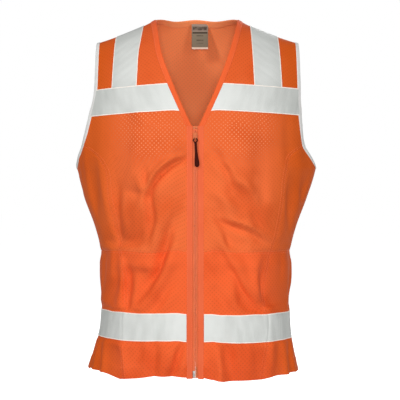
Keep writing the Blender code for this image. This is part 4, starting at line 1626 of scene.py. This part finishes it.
@dataclass(frozen=True)
class Tape:
    """Reflective tape, sewn flat along both edges."""

    shop: Shop
    thick: float = 0.0005
    layer: float = 0.0010
    ripple: float = 0.00024
    stitch_inset: float = 0.0016
    shoulder_in: tuple[float, float] = (0.1015, 0.1066)
    overlap_stitches: tuple[float, float] = (0.26, 0.32)

    def stitch(self, how: Ride, side: Side | None, patch: PointAt, u: Any, v: Any) -> None:
        """Add a line of pale stitches on the tape's face.

        Args:
            how: the way that the line rides.
            side: which front it belongs to.
            patch: the tape's patch.
            u: u along the line.
            v: v along the line.
        """
        self.shop.stitching.run(Seam(how, side, Finish.PALE_THREAD), patch, u, v,
                                self.layer + self.thick / 2 + 0.0001)

    def strip(self, name: str, patch: PointAt, steps: int, how: Ride, side: Side | None,
              rolled: str = "", node: str = "", turned: bool = False) -> None:
        """Make one strip with a stitch line along both long edges.

        Args:
            name: piece name.
            patch: where it lies.
            steps: steps along it.
            how: the way that it rides.
            side: which front it belongs to.
            rolled: its edges that dip into a seam.
            node: the CAD node that it stands for, if its name isn't the piece's own.
            turned: True if it runs along v.
        """
        grid = (20, steps) if turned else (steps, 20)
        obj = self.shop.maker.slab(name, patch, *grid, self.thick, Finish.SILVER, self.layer,
                                   ripple=self.ripple, rolled=rolled, turned=turned)
        self.shop.keep(obj, how, side, "reflective_tape", node or name)
        line, inset = np.linspace(0.006, 0.994, 80), self.stitch_inset / TAPE_WIDTH
        for edge in (inset, 1 - inset):
            self.stitch(how, side, patch, *((edge, line) if turned else (line, edge)))

    def band(self, top: float, near: ByHeight, far: ByHeight, sign: int = 1) -> PointAt:
        """Patch of a level band between two angles.

        Args:
            top: height of its upper edge.
            near: angle of its end nearest the zip, by height.
            far: angle of its other end, by height.
            sign: -1 to lay it on the right side.

        Returns:
            The patch.
        """
        def patch(u: Array, v: Array) -> Array:
            """Points of the band."""
            z = top - TAPE_WIDTH * v
            return DRAPE.point(sign * mix(near(z), far(z), u), z)
        return patch

    def shoulder(self, side: Side, back: bool) -> PointAt:
        """Patch over one half of the shoulder, down to the chest tape.

        Args:
            side: the shoulder.
            back: True for the half on the back.

        Returns:
            The patch.
        """
        bottom = CHEST_TAPE_TOP + 2 * SEAM

        def patch(u: Array, v: Array) -> Array:
            """Points of the strip."""
            x, z = hang(lambda z: (mix(*self.shoulder_in, np.clip(z / bottom, 0, 1))
                                   + TAPE_WIDTH * u),
                        ease(np.maximum(v, START / 4)), bottom)
            return DRAPE.at_x(side.value * x, z, back)
        return patch

    def build(self) -> None:
        """Make every strip of tape."""
        for word, top in (("chest", CHEST_TAPE_TOP), ("waist", WAIST_TAPE_TOP)):
            whole = self.band(top, lambda z: math.pi - cloth_edge(z),
                              lambda z: math.pi + cloth_edge(z))
            self.strip(f"back_{word}_tape", whole, 150, Ride.FIXED, None)
        for side in Side:
            word, sign = side.word, side.value
            for end, how, back in (("front", Ride.YOKE, False), ("back", Ride.FIXED, True)):
                self.strip(f"{word}_shoulder_tape_{end}", self.shoulder(side, back), 60, how, side,
                           node=f"{word}_shoulder_tape", turned=True)
            chest = self.band(
                CHEST_TAPE_TOP,
                lambda z: FORM.angle_at(FORM.v_edge(z) + FORM.v_binding - 0.0004, z),
                cloth_edge, sign)
            front = self.band(
                WAIST_TAPE_TOP,
                lambda z: FORM.angle_at(np.full_like(z, FRONT_EDGE + 0.0002), z),
                lambda z: princess_angle(z, -SEAM), sign)
            beside = self.band(WAIST_TAPE_TOP, lambda z: princess_angle(z, SEAM), cloth_edge, sign)
            self.strip(f"{word}_chest_tape", chest, 64, Ride.YOKE, side)
            self.strip(f"{word}_waist_tape", front, 56, Ride.PANEL, side, "r")
            self.strip(f"{word}_side_waist_tape", beside, 50, Ride.PANEL, side, "l")
            for u in self.overlap_stitches:
                self.stitch(Ride.PANEL, side, beside, u, np.linspace(0.02, 0.98, 20))


@dataclass(frozen=True)
class NeckBinding:
    """Bound edge round the neck: the nape, and one strip down each side of the V."""

    shop: Shop
    thick: float = 0.0026
    crown: int = 5

    def nape(self, u: Array, v: Array) -> Array:
        """Patch round the back of the neck."""
        half = FORM.neck_half + FORM.neck_binding * u
        x = half * np.sin(math.pi / 2 * (2 * v - 1) * (1 - START))
        return DRAPE.at_x(x, FORM.nape(x, half, FORM.nape_drop + FORM.neck_binding * u), True)

    def edge(self, side: Side) -> PointAt:
        """Patch down one side of the V.

        Args:
            side: the side.

        Returns:
            The patch.
        """
        def patch(u: Array, v: Array) -> Array:
            """Points of the strip."""
            x, z = hang(lambda z: FORM.v_edge(z) + FORM.v_binding * u,
                        ease(np.maximum(v, START)), V_BOTTOM_Z)
            return DRAPE.at_x(side.value * x, z)
        return patch

    def build(self) -> None:
        """Make the three strips and their stitches."""
        plan = [("back", self.nape, Ride.FIXED, None)]
        plan += [(side.word, self.edge(side), Ride.YOKE, side) for side in Side]
        for word, patch, how, side in plan:
            # the bindings' inner faces get painted light: a paler copy of the binding's colour
            obj = self.shop.maker.slab(f"{word}_neck_binding", patch, 12, 90, self.thick,
                                       Finish.NECK, crown=self.crown, lining=Finish.NAPE)
            self.shop.keep(obj, how, side, "coral_binding")
            self.shop.stitching.run(Seam(how, side, Finish.THREAD), patch, 0.84,
                                    np.linspace(*STITCH_ENDS, 120), self.thick * 0.44)


@dataclass(frozen=True)
class ArmholeBinding:
    """Pale bound edge of one armhole, in a front, a back and an underarm strip."""

    shop: Shop
    side: Side
    thick: float = 0.0026
    crown: int = 5
    last_turn: float = math.pi / 2 - 0.004

    def at(self, angle: Array, z: Array, back: bool) -> Array:
        """Point of the binding at an angle of the front, or its mirror on the back."""
        return DRAPE.point(self.side.value * (math.pi - angle if back else angle), z)

    def down_from_shoulder(self, straight_share: float, last_turn: ByHeight,
                           back: bool) -> PointAt:
        """Patch from the shoulder, straight and then round the curve.

        Args:
            straight_share: share of v spent on the straight edge.
            last_turn: the turn at which the strip ends, by inset.
            back: True on the back.

        Returns:
            The patch.
        """
        def patch(u: Array, v: Array) -> Array:
            """Points of the strip."""
            angle = FORM.armhole_start(u)
            _, z = hang(lambda z: FORM.half_width(z) * np.sin(angle) ** (2 / FORM.power),
                        ease(np.clip(v / straight_share, START, 1)), FORM.armhole_turn_z)
            turn = last_turn(u) * np.clip((v - straight_share) / (1 - straight_share), 0, 1)
            curved, low = FORM.armhole(turn, u)
            straight = v < straight_share
            return self.at(np.where(straight, angle, curved), np.where(straight, z, low), back)
        return patch

    def under(self, u: Array, v: Array) -> Array:
        """Patch under the arm, on the front."""
        turn = mix(FORM.armhole_turn(V_BOTTOM_Z, u), self.last_turn, v)
        return self.at(*FORM.armhole(turn, u), False)

    def build(self) -> None:
        """Make the three strips and their stitches."""
        front = self.down_from_shoulder(0.68, lambda u: FORM.armhole_turn(V_BOTTOM_Z, u), False)
        back = self.down_from_shoulder(0.5, lambda u: self.last_turn + 0 * u, True)
        for name, patch, rows, how, node in (
                ("armhole_binding_front", front, 90, Ride.YOKE, "armhole_binding"),
                ("armhole_binding_back", back, 120, Ride.FIXED, "armhole_binding"),
                ("underarm_binding", self.under, 60, Ride.PANEL, "underarm_binding")):
            obj = self.shop.maker.slab(f"{self.side.word}_{name}", patch, 12, rows, self.thick,
                                       Finish.WHITE, crown=self.crown)
            self.shop.keep(obj, how, self.side, "armhole_binding", f"{self.side.word}_{node}")
            self.shop.stitching.run(Seam(how, self.side, Finish.PALE_THREAD), patch, 0.80,
                                    np.linspace(*STITCH_ENDS, 120), self.thick * 0.46)


# ------------------------------------------------------------------ the zip
FRONT_Y = -FORM.front_depth


@dataclass(frozen=True)
class Block:
    """Rounded block between two corners, given as x, height above the cloth and z ranges."""

    x: tuple[float, float]
    layers: tuple[float, float]
    z: tuple[float, float]
    bevel: float = 0.0003

    def add_to(self, shape: bmesh.types.BMesh) -> None:
        """Add the block to a mesh under construction.

        Args:
            shape: the mesh.
        """
        xs, zs = sorted(self.x), sorted(self.z)
        ys = sorted(FRONT_Y - layer for layer in self.layers)
        made = bmesh.ops.create_cube(shape, size=1.0)["verts"]
        for vert in made:
            vert.co = [axis[0] if value < 0 else axis[1]
                       for axis, value in zip((xs, ys, zs), vert.co)]
        edges = dict.fromkeys(edge for vert in made for edge in vert.link_edges)
        bmesh.ops.bevel(shape, geom=list(edges), offset=self.bevel, segments=3, profile=0.5,
                        affect="EDGES", clamp_overlap=True)


def solid(name: str, blocks: Sequence[Block], finish: bpy.types.Material,
          extra: Sequence[bpy.types.Mesh] = ()) -> bpy.types.Object:
    """One piece made of rounded blocks and ready meshes.

    Args:
        name: piece name.
        blocks: the blocks.
        finish: material.
        extra: ready meshes.

    Returns:
        The object.
    """
    shape = bmesh.new()
    for block in blocks:
        block.add_to(shape)
    for mesh in extra:
        shape.from_mesh(mesh)
    mesh = bpy.data.meshes.new(name)
    write_back(shape, mesh, outward=True)
    mesh.materials.clear()
    mesh.materials.append(finish)
    mesh.shade_smooth()
    mesh.set_sharp_from_angle(angle=math.radians(40))
    return put(name + LOOK, mesh)


def write_back(shape: bmesh.types.BMesh, mesh: bpy.types.Mesh, outward: bool = False) -> None:
    """Store a mesh under construction and free it.

    Args:
        shape: the mesh under construction.
        mesh: where it goes.
        outward: True to turn its faces outwards.
    """
    if outward:
        bmesh.ops.recalc_face_normals(shape, faces=shape.faces)
    shape.to_mesh(mesh)
    shape.free()


def arc(radius: float, start: float, end: float, steps: int) -> list[tuple[float, float]]:
    """Points on an arc about the origin, both ends included."""
    turns = (mix(start, end, k / steps) for k in range(steps + 1))
    return [(radius * math.cos(turn), radius * math.sin(turn)) for turn in turns]


def outline_mesh(name: str, outlines: Sequence[Sequence[tuple[float, float]]], thick: float,
                 rounding: float) -> bpy.types.Mesh:
    """A flat shape in the XY plane with rounded rims.

    Args:
        name: name of the mesh.
        outlines: its outline, then its holes.
        thick: thickness.
        rounding: radius of the rims.

    Returns:
        The mesh.
    """
    curve = bpy.data.curves.new(name, "CURVE")
    curve.dimensions, curve.fill_mode = "2D", "BOTH"
    curve.bevel_depth, curve.bevel_resolution = rounding, 3
    curve.offset, curve.extrude = -rounding, thick / 2 - rounding
    for outline in outlines:
        line = curve.splines.new("POLY")
        line.points.add(len(outline) - 1)
        for point, (x, y) in zip(line.points, outline):
            point.co = (x, y, 0, 1)
        line.use_cyclic_u = True
    holder = put(name, curve)
    mesh = plain_mesh(holder)
    bpy.data.objects.remove(holder)
    shape = bmesh.new()
    shape.from_mesh(mesh)
    bmesh.ops.remove_doubles(shape, verts=shape.verts, dist=0.00001)
    write_back(shape, mesh)
    return mesh


@dataclass(frozen=True)
class ZipSide:
    """One half of the zip: facing, tape, coil and top stop, and its end piece."""

    shop: Shop
    side: Side
    facing_thick: float = 0.0020
    facing_stitches: tuple[float, float] = (0.16, 0.86)
    tape_x: tuple[float, float] = (0.0002, 0.0150)
    tape_behind: float = 0.0019
    tape_thick: float = 0.0007
    coil_x: tuple[float, float] = (-0.0004, 0.0030)
    coil_thick: float = 0.0022
    coil_wire: float = 0.00115
    stop_x: tuple[float, float] = (0.0008, 0.0036)
    pitch: float = 0.00125
    top: float = -0.2125
    foot: float = -0.6465
    pin_height: float = 0.0075
    below_hem: float = 0.0015

    def facing(self, u: Array, v: Array) -> Array:
        """Patch of the facing beside the channel."""
        x = CHANNEL_HALF + FACING_WIDTH * u
        return DRAPE.at_x(self.side.value * x, mix(V_BOTTOM_Z - SEAM, PLACKET_HEM_Z, v))

    def tape(self, u: Array, v: Array) -> Array:
        """Patch of the woven zip tape, flat behind the facing."""
        x = mix(*self.tape_x, u)
        z = mix(V_BOTTOM_Z - SEAM, HEM_Z, v)
        return np.stack([self.side.value * x, np.full_like(x, FRONT_Y + self.tape_behind), z],
                        axis=-1)

    def coil(self) -> bpy.types.Object:
        """The turns of the coil, half a turn up on the right side so that the sides mesh."""
        right = self.side is Side.RIGHT
        end = self.foot if right else self.foot + self.pin_height
        offset = self.pitch / 2 if right else 0.0
        x = self.side.value * (sum(self.coil_x) / 2 - 0.0001)
        line = np.array([(x, FRONT_Y + 0.0001, end + self.pitch + offset),
                         (x, FRONT_Y + 0.0001, self.top - 0.0012)])
        bead = (self.coil_x[1] - self.coil_x[0], self.coil_thick, self.coil_wire)
        return self.shop.repeater.make(f"{self.side.word}_zip_coil{LOOK}", [line], self.pitch,
                                       bead, self.shop.maker.finishes[Finish.COIL])

    def end_piece(self) -> bpy.types.Object:
        """The retainer box on the right side, or the insertion pin on the left."""
        paint, low = self.shop.maker.finishes, HEM_Z + self.below_hem
        if self.side is Side.LEFT:
            pin = Block((self.stop_x[0], self.coil_x[1]), (-0.0011, 0.0011),
                        (self.foot + 0.0070, low), 0.0006)
            return solid("zip_insertion_pin", [pin], paint[Finish.STOP])
        box = Block((-0.0004, -CHANNEL_HALF + 0.0003), (-0.0011, 0.0019),
                    (self.foot - 0.0005, low), 0.0005)
        lip = Block((-0.0008, -CHANNEL_HALF + 0.0008), (0.0016, 0.00215),
                    (self.foot - 0.0030, self.foot - 0.0045), 0.0002)
        return solid("zip_retainer_box", [box, lip], paint[Finish.METAL])

    def build(self) -> None:
        """Make the pieces of this half."""
        make, word, sign = self.shop.maker, self.side.word, self.side.value
        facing = make.slab(f"{word}_facing", self.facing, 14, 190, self.facing_thick,
                           Finish.CORAL, crown=6)
        tape = make.slab(f"{word}_zip_tape", self.tape, 10, 120, self.tape_thick,
                         Finish.ZIP_CLOTH)
        stop = Block((sign * self.stop_x[0], sign * self.stop_x[1]), (-0.0011, 0.0014),
                     (self.top + 0.0040, self.top + 0.0004), 0.0005)
        for obj, slot in ((facing, "coral_binding"), (tape, "zip_cloth"),
                          (self.coil(), "zip_coil"),
                          (solid(f"{word}_top_stop", [stop], make.finishes[Finish.STOP]),
                           "zip_metal"),
                          (self.end_piece(), "zip_metal")):
            self.shop.keep(obj, Ride.FRONT, self.side, slot)
        for u in self.facing_stitches:
            self.shop.stitching.run(Seam(Ride.FRONT, self.side, Finish.THREAD), self.facing, u,
                                    np.linspace(*STITCH_ENDS, 200), self.facing_thick / 2)


@dataclass(frozen=True)
class Slider:
    """Zip slider: two plates on a web, side flanges and an arched bail."""

    shop: Shop
    half: float = 0.0042
    z: tuple[float, float] = (-0.2190, -0.2330)
    outer: tuple[float, float] = (0.0014, 0.0026)
    inner: tuple[float, float] = (-0.0040, -0.0028)
    bail_z: float = -0.2295
    bail_half: float = 0.0023
    bail_rise: float = 0.0021
    bail_steps: int = 12
    wire: float = 0.0006
    wire_sides: int = 10
    pull_layer: float = 0.0041

    def bail(self) -> bpy.types.Mesh:
        """The arched wire that carries the pull."""
        foot = self.outer[1] - self.wire
        crown = self.pull_layer + self.bail_rise - self.bail_half
        turns = [math.pi * k / self.bail_steps for k in range(self.bail_steps + 1)]
        path = [(foot, -self.bail_half)]
        path += [(crown + self.bail_half * math.sin(turn), -self.bail_half * math.cos(turn))
                 for turn in turns]
        path.append((foot, self.bail_half))
        shape, rings = bmesh.new(), []
        for k, (layer, z) in enumerate(path):
            before, after = path[max(k - 1, 0)], path[min(k + 1, len(path) - 1)]
            dl, dz = after[0] - before[0], after[1] - before[1]
            size = math.hypot(dl, dz)
            ring = []
            for j in range(self.wire_sides):
                turn = 2 * math.pi * j / self.wire_sides
                out = self.wire * math.cos(turn)
                ring.append(shape.verts.new((self.wire * 1.25 * math.sin(turn),
                                             FRONT_Y - (layer - dz / size * out),
                                             self.bail_z + z + dl / size * out)))
            rings.append(ring)
        for low, high in zip(rings, rings[1:]):
            for j in range(self.wire_sides):
                after = (j + 1) % self.wire_sides
                shape.faces.new((low[j], low[after], high[after], high[j]))
        shape.faces.new(rings[0])
        shape.faces.new(rings[-1])
        mesh = bpy.data.meshes.new("slider_bail")
        write_back(shape, mesh)
        return mesh

    def build(self) -> None:
        """Make the slider."""
        top, foot = self.z
        half = self.half
        blocks = [Block((-half, half), self.outer, self.z, 0.0006),
                  Block((-half, half), self.inner, self.z, 0.0006),
                  Block((-0.0004, 0.0004), (self.inner[1] - 0.0003, self.outer[0] + 0.0003),
                        (top - 0.0045, top - 0.0008), 0.0001),
                  Block((-0.0017, 0.0017), (self.outer[1] - 0.0002, self.outer[1] + 0.0004),
                        (top - 0.0012, top - 0.0062), 0.0003)]
        blocks += [Block((sign * 0.0036, sign * half), (-0.0009, self.outer[0] + 0.0003),
                         (top - 0.0002, foot + 0.0002), 0.0002) for sign in (-1, 1)]
        obj = solid("zip_slider_body", blocks, self.shop.maker.finishes[Finish.ENAMEL],
                    [self.bail()])
        self.shop.keep(obj, Ride.SLIDER, None, "slider_paint", "zip_slider")


@dataclass(frozen=True)
class Pull:
    """Moulded pull: an eye, a shaft and a rounded grip with a raised field."""

    shop: Shop
    eye_outer: float = 0.0044
    eye_inner: float = 0.0024
    shaft_half: float = 0.00225
    grip_half: float = 0.0044
    length: float = 0.0480
    shaft_end: float = -0.0195
    field_top: float = -0.0230
    field_inset: float = 0.0013
    field_rise: float = 0.0005
    lean: float = math.radians(4.0)
    thick: float = 0.0016
    layer: float = 0.0041
    axis_z: float = -0.2295

    @property
    def wide(self) -> float:
        """Height of the middle of the grip's round end, below the eye."""
        return -(self.length - self.grip_half)

    def outline(self) -> list[tuple[float, float]]:
        """Closed outline of the pull."""
        eye, shaft, grip, wide = self.eye_outer, self.shaft_half, self.grip_half, self.wide
        right = arc(eye, math.pi / 2, -math.pi / 2 + math.asin(shaft / eye), 20)
        for k in range(9):
            t = k / 8
            right.append((mix(shaft, grip, t * t * (3 - 2 * t)), mix(self.shaft_end, wide, t)))
        right += [(x, wide - z) for x, z in arc(grip, 0.0, math.pi / 2, 12)[1:-1]]
        return right + [(0.0, wide - grip)] + [(-x, z) for x, z in reversed(right[1:])]

    def panel(self) -> list[tuple[float, float]]:
        """Outline of the raised field on the grip."""
        wide, grip = self.wide, self.grip_half - self.field_inset
        right = [(float(mix(self.shaft_half, self.grip_half, smooth(self.shaft_end, wide, z))
                        - self.field_inset), float(z))
                 for z in np.linspace(self.field_top, wide, 10)]
        right += [(x, wide - z) for x, z in arc(grip, 0.0, math.pi / 2, 10)[1:-1]]
        return right + [(0.0, wide - grip)] + [(-x, z) for x, z in reversed(right)]

    def build(self) -> None:
        """Make the pull, hanging from the bail and leaning a little."""
        hole = arc(self.eye_inner, 0.0, 2 * math.pi, 24)[:-1]
        body = outline_mesh("pull_body", [self.outline(), hole], self.thick, 0.00045)
        raised = outline_mesh("pull_field", [self.panel()], self.thick + self.field_rise, 0.0002)
        obj = solid("zip_pull_grip", [], self.shop.maker.finishes[Finish.RUBBER], [body, raised])
        points = np.zeros(len(obj.data.vertices) * 3)
        obj.data.vertices.foreach_get("co", points)
        x, z, out = points.reshape(-1, 3).T
        z = z - (self.eye_outer + self.eye_inner) / 2
        leaning_x = x * math.cos(self.lean) - z * math.sin(self.lean)
        leaning_z = x * math.sin(self.lean) + z * math.cos(self.lean)
        moved = np.stack([leaning_x, FRONT_Y - self.layer - out, self.axis_z + leaning_z], axis=1)
        obj.data.vertices.foreach_set("co", moved.ravel())
        shape = bmesh.new()
        shape.from_mesh(obj.data)
        write_back(shape, obj.data, outward=True)
        obj.data.update()
        self.shop.keep(obj, Ride.PULL, None, "pull_rubber", "zip_pull")


@dataclass(frozen=True)
class CareLabel:
    """Woven care label, sewn inside the back neck, with plain bars for its print."""

    shop: Shop
    width: float = 0.032
    length: float = 0.049
    thick: float = 0.0005
    centre_x: float = 0.0084
    top: tuple[float, float] = (0.0708, 0.0038)
    curl: float = -0.0016
    dish: float = 0.0009

    def patch(self, u: Array, v: Array) -> Array:
        """The label, a little curled towards its foot."""
        y, z = self.top
        bent = self.curl * v**2 + self.dish * np.sin(math.pi * u) * v
        return np.stack([self.centre_x + (u - 0.5) * self.width, y + bent + 0 * u,
                         z - self.length * v], axis=-1)

    def build(self) -> None:
        """Make the label."""
        obj = self.shop.maker.slab("care_label_ribbon", self.patch, 20, 30, self.thick,
                                   Finish.LABEL)
        self.shop.keep(obj, Ride.LABEL, None, "care_label", "care_label")


# ------------------------------------------------------------------ studio
@dataclass(frozen=True)
class Lamp:
    """A square soft light."""

    name: str
    place: tuple[float, float, float]
    size: float
    power: float

    def hang(self, aim_at: tuple[float, float, float]) -> None:
        """Hang the lamp and turn it.

        Args:
            aim_at: the point that it looks at.
        """
        data = bpy.data.lights.new(self.name, "AREA")
        data.size, data.energy = self.size, self.power
        obj = put(self.name, data)
        obj.location = self.place
        aim = np.array(aim_at) - np.array(self.place)
        yaw = math.atan2(aim[0], -aim[1])
        tilt = math.atan2(math.hypot(aim[0], aim[1]), -aim[2])
        obj.rotation_euler = (tilt, 0, math.pi + yaw)


@dataclass(frozen=True)
class Studio:
    """Plain pale floor, pale air, soft lamps and the camera."""

    lamps: tuple[Lamp, ...] = (Lamp("key_light", (-1.75, -1.9, 1.35), 0.6, 31.0),
                               Lamp("front_light", (0.02, -3.0, -0.24), 0.4, 36.0),
                               Lamp("fill_light", (1.5, -2.2, 0.3), 0.9, 19.0),
                               Lamp("back_light", (0.9, 2.4, 0.7), 1.6, 34.0))
    middle: tuple[float, float, float] = (0.0, 0.0, -0.33)
    camera_place: tuple[float, float, float] = (0.00855, -2.4, -0.340)
    lens: float = 113.7
    floor_z: float = -0.80
    floor_reach: float = 30.0
    air: float = 0.27

    def build(self) -> None:
        """Make the set."""
        bpy.context.scene.view_settings.view_transform = "Standard"
        self.pale_air()
        self.floor()
        for lamp in self.lamps:
            lamp.hang(self.middle)
        self.camera()

    def pale_air(self) -> None:
        """White all round for the camera, and dimmer as a light."""
        world = bpy.data.worlds.new("studio")
        world.use_nodes = True
        tree = world.node_tree
        background = tree.nodes["Background"]
        background.inputs[0].default_value = rgb(1, 1, 1)
        rays, dim = tree.nodes.new("ShaderNodeLightPath"), tree.nodes.new("ShaderNodeMapRange")
        dim.inputs["To Min"].default_value = self.air
        dim.inputs["To Max"].default_value = 1.0
        tree.links.new(rays.outputs["Is Camera Ray"], dim.inputs["Value"])
        tree.links.new(dim.outputs[0], background.inputs[1])
        bpy.context.scene.world = world

    def camera(self) -> None:
        """Camera straight in front."""
        data = bpy.data.cameras.new("camera")
        data.lens, data.sensor_width = self.lens, 36.0
        data.clip_start, data.clip_end = 0.05, 60.0
        camera = put("camera", data)
        camera.location = self.camera_place
        camera.rotation_euler = (math.pi / 2, 0, 0)
        bpy.context.scene.camera = camera

    def floor(self) -> None:
        """A plain pale floor."""
        mesh = bpy.data.meshes.new("floor")
        reach, z = self.floor_reach, self.floor_z
        mesh.from_pydata([(-reach, -reach, z), (reach, -reach, z), (reach, reach, z),
                          (-reach, reach, z)], [], [(0, 1, 2, 3)])
        shop = NodeShop("pale_paper")
        tone = shop.noise(shop.place(), 3.0, 2.0)
        colour = shop.blend(tone * 0.15, rgb(0.93, 0.93, 0.93), rgb(0.90, 0.90, 0.90))
        mesh.materials.append(shop.surface({"Base Color": colour}, {
            "Roughness": 0.9, "Specular IOR Level": 0.1, "Emission Color": rgb(1, 1, 1),
            "Emission Strength": 0.75}))
        obj = put("floor", mesh)
        obj.visible_diffuse = False


# ------------------------------------------------------------------ the vest
STITCH_SPACING = 0.0034
STITCH_SIZE = (0.00055, 0.00055, 0.0027)


def sew(shop: Shop) -> None:
    """Turn the gathered stitch lines into pieces.

    Args:
        shop: what the sub-assemblies worked with.
    """
    for seam, lines in shop.stitching.lines.items():
        obj = shop.repeater.make(seam.piece, lines, STITCH_SPACING, STITCH_SIZE,
                                 shop.maker.finishes[seam.thread])
        follow(obj, seam.how, seam.side)
        shop.pieces[seam.piece] = obj


def sewn_to(sheet: str, others: Sequence[str]) -> list[str]:
    """The pieces that are sewn to a sheet of cloth and counted with it.

    Args:
        sheet: name of the sheet.
        others: names of the pieces that aren't sheets.

    Returns:
        Names from others.
    """
    if sheet == "back_upper_panel":
        return [n for n in others if n.startswith(("back_", "fixed")) or "binding_back" in n
                or "_fixed_" in n]
    word, _, rest = sheet.partition("_")
    marks = {"front_yoke": ("yoke", "neck_binding", "binding_front"),
             "front_upper_panel": ("panel", "facing", "zip_", "front_thread"),
             "side_upper_panel": ("underarm",)}.get(rest, ())
    return [n for n in others if n.startswith(word) and any(mark in n for mark in marks)]


def declare(shop: Shop) -> None:
    """Sort out every piece of hanging cloth, with the bindings, zip halves and stitches on it,
    and pass each to Maker.sheet, which does nothing with them.

    Args:
        shop: what the sub-assemblies worked with.
    """
    pieces = shop.pieces
    sheets = [name for name in pieces if name.endswith(("_panel", "_yoke"))]
    sheets += [name for name in pieces if "_tape" in name and "zip" not in name
               and "stitches" not in name]
    sheets.append("care_label_ribbon")
    others = [name for name in pieces if name not in sheets]
    for name in sheets:
        shop.maker.sheet(pieces[name], [pieces[other] for other in sewn_to(name, others)])


def main() -> None:
    """Build the vest, then the set round it."""
    logging.basicConfig(level=logging.INFO, format="%(name)s: %(message)s")
    DRAPE.wrinkles = HangingCloth().run()
    maker = Maker({finish: finish.value.make() for finish in Finish})
    shop = Shop(maker, Stitching(maker), Repeater())
    BackPanels(shop).build()
    for side in Side:
        FrontPanels(shop, side).build()
        ArmholeBinding(shop, side).build()
        ZipSide(shop, side).build()
    for assembly in (Tape(shop), NeckBinding(shop), Slider(shop), Pull(shop), CareLabel(shop)):
        assembly.build()
    sew(shop)
    declare(shop)
    Studio().build()


if __name__ == "__main__":
    main()
